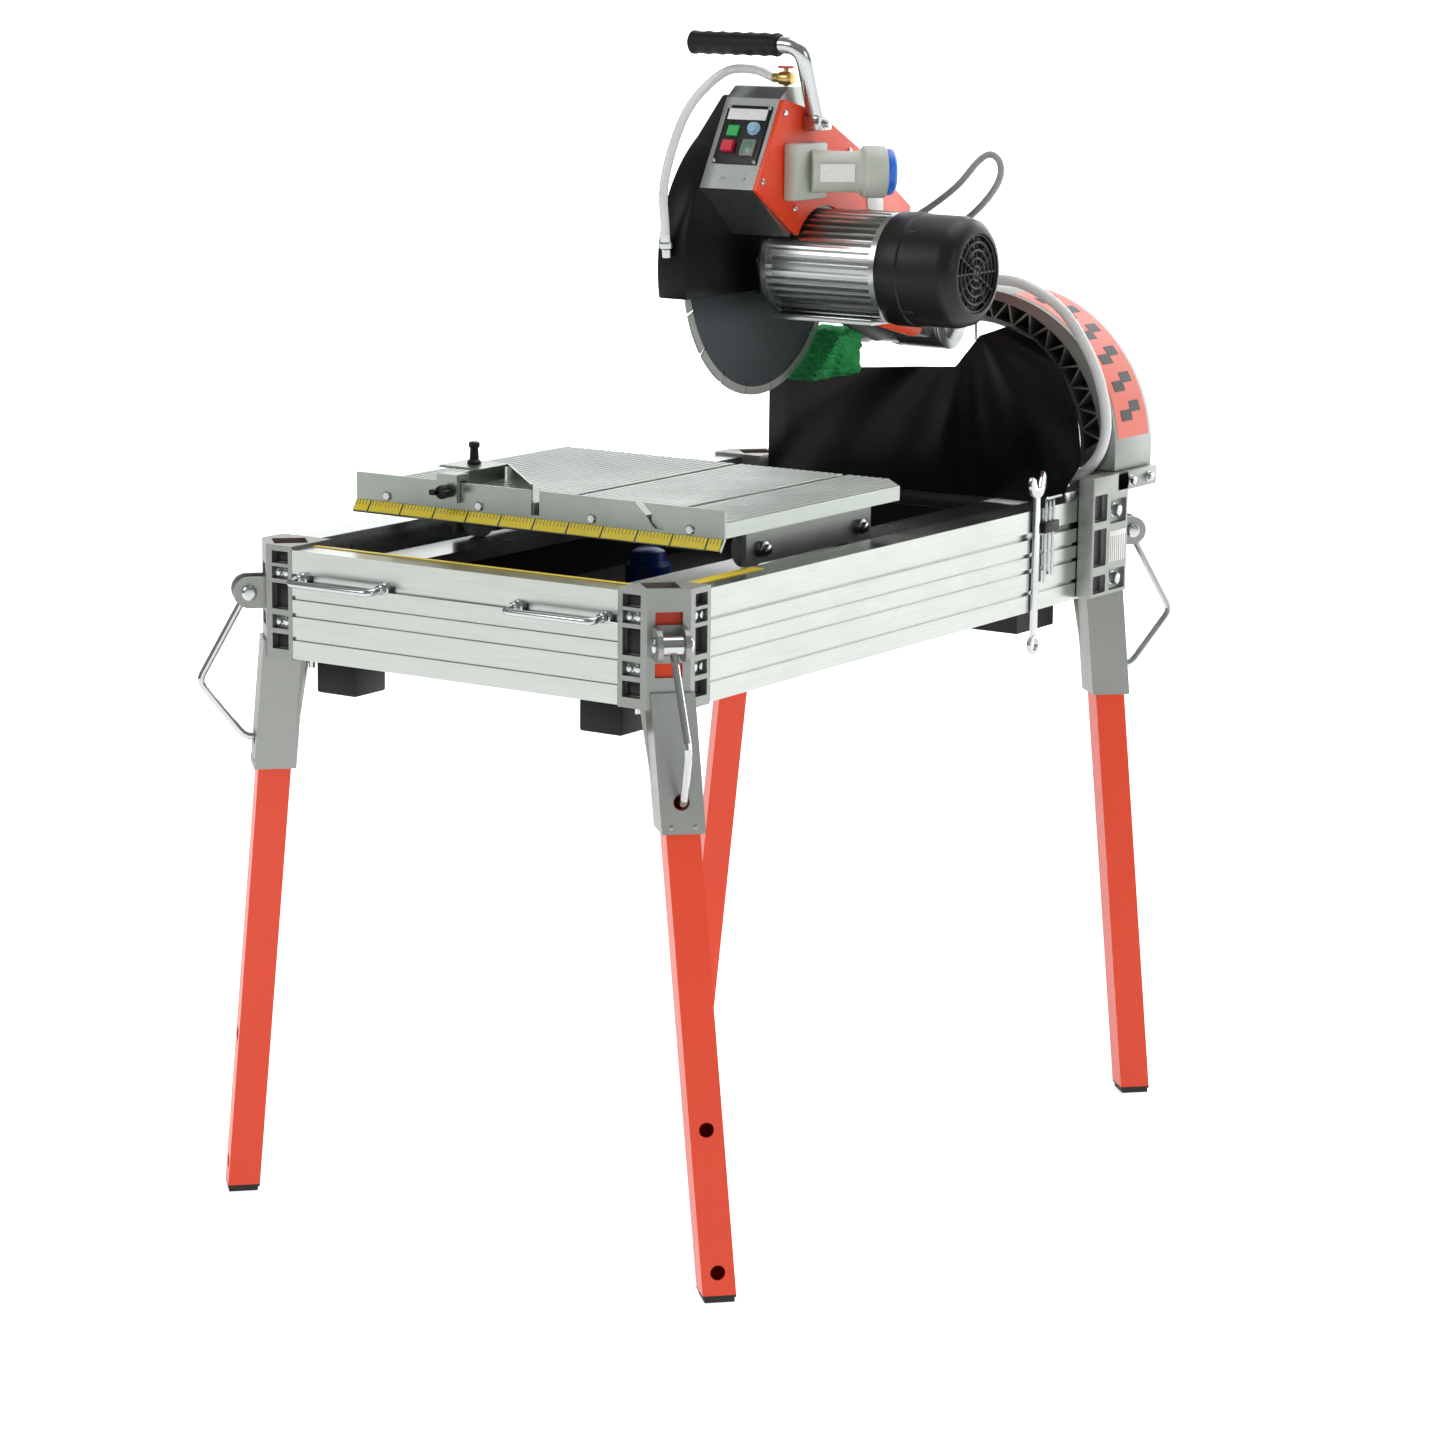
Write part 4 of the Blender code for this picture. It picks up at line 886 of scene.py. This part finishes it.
def make_inlet():
    face = 0.0984
    way = Vector((0.76, 0.65, 0)).normalized()
    start = Vector((face + 0.0185, 0.036, 1.272))
    base = block("inlet_base", (face, face + 0.020), (0.0005, 0.0755), (1.2365, 1.3075), 0.004)
    flared = [(0, 0.027), (0.050, 0.0255), (0.062, 0.0265), (0.066, 0.0325), (0.092, 0.033), (0.095, 0.031)]
    hood = turned("inlet_hood", start, way, flared, 40, 0.0008)
    ribs = [
        turned(f"inlet_rib_{k}", start + way * (0.070 + 0.006 * k), way, [(0, 0.0330), (0.0022, 0.0330)], 40)
        for k in range(3)
    ]
    grey = finish("inlet_grey", (0.50, 0.53, 0.47), 0.42, 0.0, 500, shade=0.06, bump=0.08)
    done(merge("inlet_housing", [base, hood, *ribs]), "saw_head", grey, ["power_inlet"])
    blue = finish("inlet_blue", tuple(bpy.context.scene.saw_colours.cap), 0.3, 0.0, 300, bump=0.05)
    crown = [(0, 0.029), (0.004, 0.0295), (0.009, 0.0280), (0.0125, 0.0235)]
    cap = turned("inlet_cap", start + way * 0.0945, way, crown, 40, 0.0006)
    done(cap, "saw_head", blue)
    side = way.cross(AXES["Z"]).normalized()
    label = block("inlet_label", (-0.022, 0.022), (-0.0004, 0.0004), (-0.011, 0.011), 0.0002)
    centre = start + way * 0.030 + side * 0.0275
    label.matrix_world = Matrix((
        (way.x, side.x, 0, centre.x), (way.y, side.y, 0, centre.y), (0, 0, 1, centre.z), (0, 0, 0, 1),
    ))
    done(label, "saw_head", plain("label_white", (0.78, 0.78, 0.76), 0.45))


def make_handle():
    side = 0.1099
    path = rounded([(side, 0.062, 1.326), (side, 0.022, GRIP_Z), (GRIP_X[1] + 0.0004, 0.022, GRIP_Z)], 0.024, 8)
    bar = tube("handle_tube", path, 0.0108, 20)
    clamp = block("handle_clamp", (0.0984, 0.1215), (0.044, 0.078), (1.322, 1.340), 0.002)
    bolt = hex_bolt("handle_bolt", (0.1215, 0.061, 1.331), RIGHT, 0.010, 0.005)
    done(merge("handle_tube_and_clamp", [bar, clamp, bolt]), "saw_head", zinc(), ["handle_bar"])
    long = GRIP_X[1] - GRIP_X[0]
    profile = [(0, 0.0135), (0.004, 0.0150), (0.010, 0.0138)]
    for k in range(5):
        at = 0.016 + k * 0.021
        profile += [(at, 0.0138), (at + 0.007, 0.0150), (at + 0.014, 0.0138)]
    profile += [(long - 0.010, 0.0140), (long - 0.007, 0.0150), (long - 0.003, 0.0148), (long, 0.0110)]
    grip = turned("grip_sleeve", (GRIP_X[1], 0.022, GRIP_Z), LEFT, profile, 32)
    done(grip, "saw_head", rubber(), ["handle_grip"])


def hose(name, body, look, replaces, points, radius, sides):
    """A cord that starts and ends in the saw, along one smooth curve."""
    piece = tube(name, points, radius, sides)
    done(piece, body, look, replaces)


def make_water_fittings():
    brass = finish("tap_brass", (0.60, 0.42, 0.16), 0.30, 1.0, 300, shade=0.1, bump=0.08)
    barbed = [(0, 0.007), (0.006, 0.0085), (0.018, 0.0085), (0.020, 0.0062), (0.028, 0.0062)]
    body = turned("tap_body", (0.086, 0.040, 1.3860), (-1, 0.0, 0.02), barbed, 16, 0.0004)
    lever = block("tap_lever", (0.0655, 0.0855), (0.036, 0.044), (1.3985, 1.4015), 0.0010)
    neck = rod("tap_neck", (0.076, 0.040, 1.3765), (0.076, 0.040, 1.3995), 0.0035, 12)
    done(merge("water_tap", [body, neck]), "saw_head", brass)
    done(lever, "saw_head", plain("tap_red", (0.55, 0.03, 0.03), 0.35))
    clear = finish("braided_hose", (0.72, 0.74, 0.73), 0.28, 0.0, 900, shade=0.14, bump=0.4, depth=0.0005, coat=0.4)
    hose("guard_hose_tube", "saw_head", clear, ["guard_hose"], smooth_path([
        (0.058, 0.040, 1.3865), (0.030, 0.034, 1.396), (0.004, 0.004, 1.391), (-0.008, -0.058, 1.345),
        (-0.010, -0.103, 1.262), (-0.010, -0.100, 1.192),
    ]), 0.0058, 16)
    grey = finish("cable_grey", (0.32, 0.33, 0.32), 0.5, 0.0, 600, bump=0.1)
    hose("motor_cable", "saw_head", grey, (), smooth_path([
        (0.156, 0.170, 1.200), (0.190, 0.184, 1.215), (0.235, 0.196, 1.250), (0.262, 0.202, 1.282),
        (0.280, 0.203, 1.293), (0.296, 0.200, 1.284), (0.298, 0.196, 1.262), (0.278, 0.193, 1.232),
        (0.235, 0.195, 1.196), (0.170, 0.205, 1.150), (0.112, 0.222, 1.125),
    ], 4), 0.0044, 12)
    y = ARCH_Y[0] - 0.0085
    hose("feed_hose_tube", "stand", clear, ["feed_hose"], smooth_path([
        (0.246, 0.456, 0.760), (0.248, 0.456, 0.800), (0.262, 0.456, 0.846), (0.294, 0.457, 0.862),
        (0.314, 0.463, 0.892), (0.318, y, 0.935), (0.300, y, 1.000),
        (0.252, y, 1.070), (0.191, y, 1.104), (0.135, y, 1.110),
    ], 4), 0.0073, 16)


def make_brush():
    green = tuple(bpy.context.scene.saw_colours.mat)
    look = finish("brush_fibre", green, 0.8, 0.0, 260, shade=0.45, bump=1.0, depth=0.004)
    clear = BLADE_R + 0.004
    low, high = 0.990, 1.050
    a, b = (-math.asin((BLADE_Z - z) / clear) for z in (low, high))
    line = [(0.300, low), (0.300, high), *arc(BLADE_Y, BLADE_Z, clear, b, a, 8)]
    pad = plate("brush_pad", "X", (-0.024, 0.0356), line)
    only(pad)
    bpy.ops.object.mode_set(mode="EDIT")
    bpy.ops.mesh.select_all(action="SELECT")
    bpy.ops.mesh.quads_convert_to_tris()
    bpy.ops.mesh.subdivide(number_cuts=9)
    bpy.ops.transform.vertex_random(offset=0.0022, uniform=0.6, normal=0.6, seed=5)
    bpy.ops.object.mode_set(mode="OBJECT")
    done(pad, "saw_head", look, ["splash_brush"], 80)


def arch_points(radius, degrees, centre=ARCH_IN):
    a = math.radians(degrees)
    return centre[0] + radius * math.cos(a), centre[1] + radius * math.sin(a)


def make_arch():
    top_out = ARCH_OUT[1] + ARCH_OUT[2]
    top_in = ARCH_IN[1] + ARCH_IN[2]
    foot = 0.8624
    line = [
        (ARCH_OUT[0] + ARCH_OUT[2], foot), *arc(*ARCH_OUT, 0, math.pi / 2, 32), (-0.020, top_out), (-0.020, top_in),
        *arc(*ARCH_IN, math.pi / 2, 0, 32), (ARCH_IN[0] + ARCH_IN[2], foot),
    ]
    arch = plate("arch_body", "Y", ARCH_Y, line, 0.0012)
    pockets = []
    cells = 9
    low, high = 0.174, 0.1985
    for k in range(cells):
        a, b = (90 * (k + e) / cells for e in (0.0, 1.0))
        for flip in (False, True):
            if not flip and k == cells - 1:
                continue
            base, tip = (low, high) if flip else (high, low)
            first, last = (a + 0.9, b - 0.9) if flip else (a + 6.0, b + 4.0)
            corners = [arch_points(base, first), arch_points(base, last), arch_points(tip, (first + last) / 2)]
            pockets.append(plate(f"truss_{k}_{flip}", "Y", (ARCH_Y[0] - 0.01, ARCH_Y[0] + 0.045), corners))
    cut(arch, merge("truss_pockets", pockets))
    inner = plate("arch_inner_lip", "Y", (ARCH_Y[0] + 0.008, ARCH_Y[1] - 0.012), [
        *arc(*ARCH_IN[:2], ARCH_IN[2] + 0.001, 0, math.pi / 2, 24),
        *arc(*ARCH_IN[:2], ARCH_IN[2] - 0.003, math.pi / 2, 0, 24),
    ])
    barrel = [(0, 0.0445), (0.002, 0.045), (0.103, 0.045), (0.105, 0.0435)]
    boss = turned("arch_boss", (0, ARCH_Y[0], PIVOT_Z), (0, 1, 0), barrel, 48)
    done(merge("arch_casting", [arch, inner, boss]), "stand", cast(), ["arch_arm"])
    red = plain("arch_stripe_red", (0.72, 0.10, 0.05), 0.4, 300, shade=0.08, coat=0.2)
    dark = plain("arch_stripe_dark", (0.03, 0.03, 0.03), 0.45, 300)

    def band(name, start, end, y, lift, look):
        a, b = math.radians(start), math.radians(end)
        steps = max(2, int((end - start) / 3))
        outline = [
            *arc(*ARCH_OUT[:2], ARCH_OUT[2] + lift, a, b, steps),
            *arc(*ARCH_OUT[:2], ARCH_OUT[2] - 0.0005, b, a, steps),
        ]
        return done(plate(name, "Y", y, outline), "stand", look)

    band("arch_stripe", 6, 78, (0.484, 0.571), 0.0004, red)
    for k in range(6):
        low = 12 + k * 11
        band(f"arch_bar_{k}a", low, low + 4, (0.500, 0.530), 0.0008, dark)
        band(f"arch_bar_{k}b", low + 3, low + 7, (0.528, 0.556), 0.0008, dark)
    disc = turned("tilt_disc", (0, 0.5795, PIVOT_Z), (0, 1, 0), [(0, 0.030), (0.0032, 0.028)], 32)
    done(disc, "stand", zinc())
    look_of_node(cast(), "tilt_bracket")
    bend = rounded([(0.128, 0.4745, 1.060), (0.128, 0.4450, 1.060), (0.128, 0.4450, 1.028)], 0.006)
    done(tube("curtain_hook", bend, 0.0020, 10), "stand", zinc())


def make_arm_base():
    base = block("arm_base_side", (0.3156, 0.338), (0.400, 0.500), (0.7010, 0.862), 0.002)
    # The windows listed in dark get black back plates: painted shade in those recesses, while the bolted ones stay bare
    dark = [((0.405, 0.440), z) for z in ((0.742, 0.792), (0.706, 0.730), (0.802, 0.838))]
    bolted = [((0.450, 0.494), z) for z in ((0.796, 0.828), (0.706, 0.734))]
    windows = [block(f"base_window_{k}", (0.330, 0.345), y, z, 0.002) for k, (y, z) in enumerate(dark + bolted)]
    shade_backs = [
        block(f"window_shade_{k}", (0.3301, 0.3312), (y0 + 0.0015, y1 - 0.0015), (z0 + 0.0015, z1 - 0.0015), 0.0003)
        for k, ((y0, y1), (z0, z1)) in enumerate(dark)
    ]
    done(merge("base_window_shade", shade_backs), "stand", black())
    cut(base, merge("base_windows", windows))
    shelf = block("arm_base_shelf", (0.2642, 0.338), (0.468, 0.580), (0.8366, 0.862), 0.002)
    done(merge("arm_base_casting", [base, shelf]), "stand", cast(), ["arm_base"])
    bolts = [hex_bolt(f"base_bolt_{k}", (0.330, 0.472, z), RIGHT, 0.016, 0.009) for k, z in enumerate((0.812, 0.720))]
    bolts += [hex_bolt(f"shelf_bolt_{k}", (0.338, y, 0.849), RIGHT, 0.012, 0.006) for k, y in enumerate((0.505, 0.555))]
    done(merge("base_bolts", bolts), "stand", zinc())
    made, tree, shader = shader_of("striped_label")
    where = place_in(tree)
    wave = math_node(tree, "ADD", *(math_node(tree, "MODULO", where["Y"], pitch) for pitch in (0.006, 0.0037)))
    bars = math_node(tree, "LESS_THAN", wave, 0.0035)
    bars = math_node(tree, "MULTIPLY", bars, math_node(tree, "LESS_THAN", where["Z"], 0.779))
    tree.links.new(mix_colour(tree, bars, (0.72, 0.72, 0.70), (0.03, 0.03, 0.03)), shader.inputs["Base Color"])
    shader.inputs["Roughness"].default_value = 0.4
    label = block("base_label", (0.3380, 0.3386), (0.447, 0.495), (0.744, 0.786), 0.0002)
    done(label, "stand", made)


def make_curtain():
    """A rubberised sheet that hangs in folds from its hook."""
    fold = bpy.context.scene.saw_sizes.fold_depth
    left, right, foot = -0.200, 0.294, 0.816
    narrow, shoulder = 0.262, 0.872
    deselect()
    bpy.ops.mesh.primitive_grid_add(x_subdivisions=96, y_subdivisions=48, size=1)
    cloth = named("splash_sheet")
    tops = [
        (left, 0.957), (-0.120, 0.974), (0.100, 0.990), (0.134, 1.034), (0.178, 1.050), (0.222, 1.034), (0.258, 0.996),
        (0.285, 0.944), (right, 0.880),
    ]

    def top(x):
        for (x0, z0), (x1, z1) in zip(tops, tops[1:]):
            if x <= x1 + 1e-9:
                t = (x - x0) / (x1 - x0)
                return z0 + (z1 - z0) * t
        return tops[-1][1]

    for vert in cloth.data.vertices:
        x = left + (vert.co.x + 0.5) * (right - left)
        rise = vert.co.y + 0.5
        z = foot + rise * (top(x) - foot)
        if x > narrow and z < shoulder:
            x = min(x, narrow + (x - narrow) * (z - foot) / (shoulder - foot))
        dx, dz = x - 0.128, 1.036 - z
        angle = math.atan2(dx, dz + 0.02)
        far = min(1.0, math.hypot(dx, dz) / 0.10)
        fade = min(1.0, (x - left) / 0.03, (right - x) / 0.02 + 0.3)
        wave = math.sin(angle * 7.0 + 0.6) + 0.5 * math.sin(angle * 15.0 + z * 9)
        y = 0.4445 + fold * 0.66 * wave * far * fade
        vert.co = (x, y, z)
    thick = cloth.modifiers.new("thickness", "SOLIDIFY")
    thick.thickness = 0.0018
    thick.offset = 0
    apply_all(cloth)
    look = finish(
        "curtain_rubber", (0.004, 0.004, 0.004), 0.33, 0.0, 160, shade=0.25, bump=0.25, depth=0.0008, shine=0.3
    )
    done(cloth, "stand", look, ["splash_curtain"], 60)


def make_tools():
    """The spanner and the hexagon keys clipped on the right rail."""
    x0 = TOOL_FACE
    jaw = arc(0.281, 0.868, 0.020, math.radians(-118), math.radians(48), 10)
    jaw += [(0.289, 0.872), (0.286, 0.862), (0.278, 0.862), (0.273, 0.874)]
    jaw += arc(0.281, 0.868, 0.020, math.radians(150), math.radians(228), 6)
    handle = [(0.2875, 0.855), (0.2745, 0.855), (0.2735, 0.665), (0.2885, 0.665)]
    head = plate("spanner_jaw", "X", (x0, x0 + 0.0056), jaw, 0.0006)
    shaft = plate("spanner_shaft", "X", (x0 + 0.0008, x0 + 0.0048), handle, 0.0008)
    ring = turned("spanner_ring", (x0, 0.281, 0.655), RIGHT, [(0, 0.013), (0.0056, 0.013)], 32, 0.0006)
    hole = turned("ring_hole", (x0 - 0.01, 0.281, 0.655), RIGHT, [(0, 0.0078), (0.03, 0.0078)], 12)
    cut(ring, hole)
    done(merge("spanner_body", [head, shaft, ring]), "stand", zinc(), ["spanner"])
    keys = []
    for k, (y, low) in enumerate(((0.306, 0.735), (0.316, 0.748), (0.326, 0.742))):
        path = rounded([(x0 + 0.003, y, low), (x0 + 0.003, y, 0.845), (x0 + 0.003, y + 0.020, 0.845)], 0.006)
        keys.append(tube(f"key_{k}", path, 0.0021, 8))
    done(merge("hex_keys", keys), "stand", zinc())
    clip = block("tool_clip", (0.3152, 0.3240), (0.296, 0.334), (0.800, 0.815), 0.0015)
    done(clip, "stand", black())


def make_stage():
    """Pale floor, soft light and the camera."""
    deselect()
    bpy.ops.mesh.primitive_plane_add(size=40, location=(0, 0, -0.0005))
    floor = named("studio_floor")
    pale = finish("pale_floor", (0.90, 0.90, 0.90), 0.7, 0.0, 3, shade=0.01, bump=0.0)
    glow = pale.node_tree.nodes["Principled BSDF"].inputs
    glow["Emission Color"].default_value = (1, 1, 1, 1)
    glow["Emission Strength"].default_value = 0.78
    floor.data.materials.append(pale)
    bpy.ops.mesh.primitive_plane_add(size=40, location=(0, 14, 10), rotation=(math.pi / 2, 0, 0))
    wall = named("studio_wall")
    wall.data.materials.append(pale)
    world = bpy.data.worlds.new("studio")
    world.use_nodes = True
    tree = world.node_tree
    split = node(tree, "ShaderNodeSeparateXYZ")
    tree.links.new(node(tree, "ShaderNodeTexCoord").outputs["Generated"], split.inputs[0])
    ramp = node(tree, "ShaderNodeValToRGB")
    ramp.color_ramp.elements[0].position = 0.46
    ramp.color_ramp.elements[0].color = (0.10, 0.10, 0.10, 1)
    ramp.color_ramp.elements[1].position = 0.62
    ramp.color_ramp.elements[1].color = (1, 1, 1, 1)
    lifted = math_node(tree, "MULTIPLY_ADD", split.outputs["Z"], 0.5)
    lifted.node.inputs[2].default_value = 0.5
    tree.links.new(lifted, ramp.inputs["Fac"])
    tree.links.new(ramp.outputs["Color"], tree.nodes["Background"].inputs["Color"])
    tree.nodes["Background"].inputs["Strength"].default_value = 0.30
    bpy.context.scene.world = world
    bpy.context.scene.view_settings.view_transform = "Standard"
    for name, at, size, power in (
        ("key_light", (-1.6, -3.4, 3.4), 1.8, 48), ("fill_light", (3.8, -0.6, 2.2), 1.4, 14),
        ("top_light", (0.4, 0.9, 4.0), 2.2, 42), ("wall_light", (0, 9, 6), 6, 900),
    ):
        bpy.ops.object.light_add(type="AREA", location=at)
        lamp = bpy.context.active_object
        lamp.name = name
        lamp.data.size = size
        lamp.data.energy = power
        aim = Vector((0, 14, 3)) if name == "wall_light" else Vector((0, 0, 0.8))
        lamp.rotation_euler = (aim - Vector(at)).to_track_quat("-Z", "Y").to_euler()
    bpy.ops.object.camera_add(location=(2.8060, -4.2663, 1.5922))
    camera = bpy.context.active_object
    camera.name = "view_camera"
    yaw, pitch, roll = 0.5788, 0.1997, 0.0118
    ahead = Vector((-math.sin(yaw) * math.cos(pitch), math.cos(yaw) * math.cos(pitch), -math.sin(pitch)))
    level = Vector((math.cos(yaw), math.sin(yaw), 0))
    above = level.cross(ahead)
    right = math.cos(roll) * level + math.sin(roll) * above
    up = -math.sin(roll) * level + math.cos(roll) * above
    camera.rotation_euler = Matrix((right, up, -ahead)).transposed().to_euler()
    camera.data.sensor_width = 36
    camera.data.lens = 100
    camera.data.clip_end = 100
    bpy.context.scene.camera = camera


# ---------------------------------------------------------------- operators


def operator(idname, label, doc, work):
    """An operator class that runs one making function."""

    def execute(self, context):
        work()
        return {"FINISHED"}

    return type(
        "SAW_OT_" + idname, (bpy.types.Operator,),
        {"bl_idname": "saw." + idname, "bl_label": label, "__doc__": doc, "execute": execute},
    )


STEPS = (
    ("stage", "Stage", "Adds the floor, the lights and the camera", make_stage),
    ("water_fittings", "Water fittings", "Makes the tap and both hoses", make_water_fittings),
    ("frame", "Frame and legs", "Dresses the rails, corners, legs, tank and tracks", make_frame),
    ("corner_bolts", "Corner bolts", "Makes the heads in the corner castings", make_corner_bolts),
    ("carry_handles", "Carry handles", "Makes the two bent handles with their nuts", make_carry_handles),
    ("rest_blocks", "Rest blocks", "Makes the rubber blocks under the front rail", make_rest_blocks),
    ("pump", "Water pump", "Makes the pump in the tank", make_pump),
    ("table", "Rolling table", "Makes the grooved planks, rollers and axle ends", make_table),
    ("fence", "Fence", "Makes the ruler, screws and knobs of the fence", make_fence),
    ("blade", "Blade", "Makes the segmented blade", make_blade),
    ("guard", "Blade guard", "Makes the guard with its bolts", make_guard),
    ("side_plate", "Side plate", "Dresses the swing arm and its screws", make_side_plate),
    ("motor", "Motor", "Makes the finned motor and its fan cover", make_motor),
    ("controls", "Switch panel", "Makes the panel, dial, flap and label", make_controls),
    ("inlet", "Power inlet", "Makes the inlet with its blue cap", make_inlet),
    ("handle", "Handle", "Makes the bent bar and its grip", make_handle),
    ("brush", "Splash brush", "Makes the green fibre mat", make_brush),
    ("arch", "Arched arm", "Makes the arched casting with its stripe", make_arch),
    ("arm_base", "Arm base", "Makes the bracket that holds the arch", make_arm_base),
    ("curtain", "Splash curtain", "Makes the hanging sheet", make_curtain),
    ("tools", "Tools", "Makes the spanner and keys on the rail", make_tools),
)
OPERATORS = [operator(*step) for step in STEPS]


class SAW_PT_pieces(bpy.types.Panel):
    """Lists the saw's sizes, colours and pieces"""

    bl_label = "Masonry saw"
    bl_idname = "SAW_PT_pieces"
    bl_space_type = "VIEW_3D"
    bl_region_type = "UI"
    bl_category = "Saw"

    def draw(self, context):
        for group in (context.scene.saw_sizes, context.scene.saw_colours):
            for prop in group.__annotations__:
                self.layout.prop(group, prop)
        for idname, label, _, _ in STEPS:
            self.layout.operator("saw." + idname, text=label)


CLASSES = [SawSizes, SawColours, *OPERATORS, SAW_PT_pieces]


def register():
    for cls in CLASSES:
        bpy.utils.register_class(cls)
    bpy.types.Scene.saw_sizes = PointerProperty(type=SawSizes)
    bpy.types.Scene.saw_colours = PointerProperty(type=SawColours)


def unregister():
    del bpy.types.Scene.saw_sizes
    del bpy.types.Scene.saw_colours
    for cls in reversed(CLASSES):
        bpy.utils.unregister_class(cls)


def main():
    register()
    for idname, _, _, _ in STEPS:
        getattr(bpy.ops.saw, idname)()


if __name__ == "__main__":
    main()
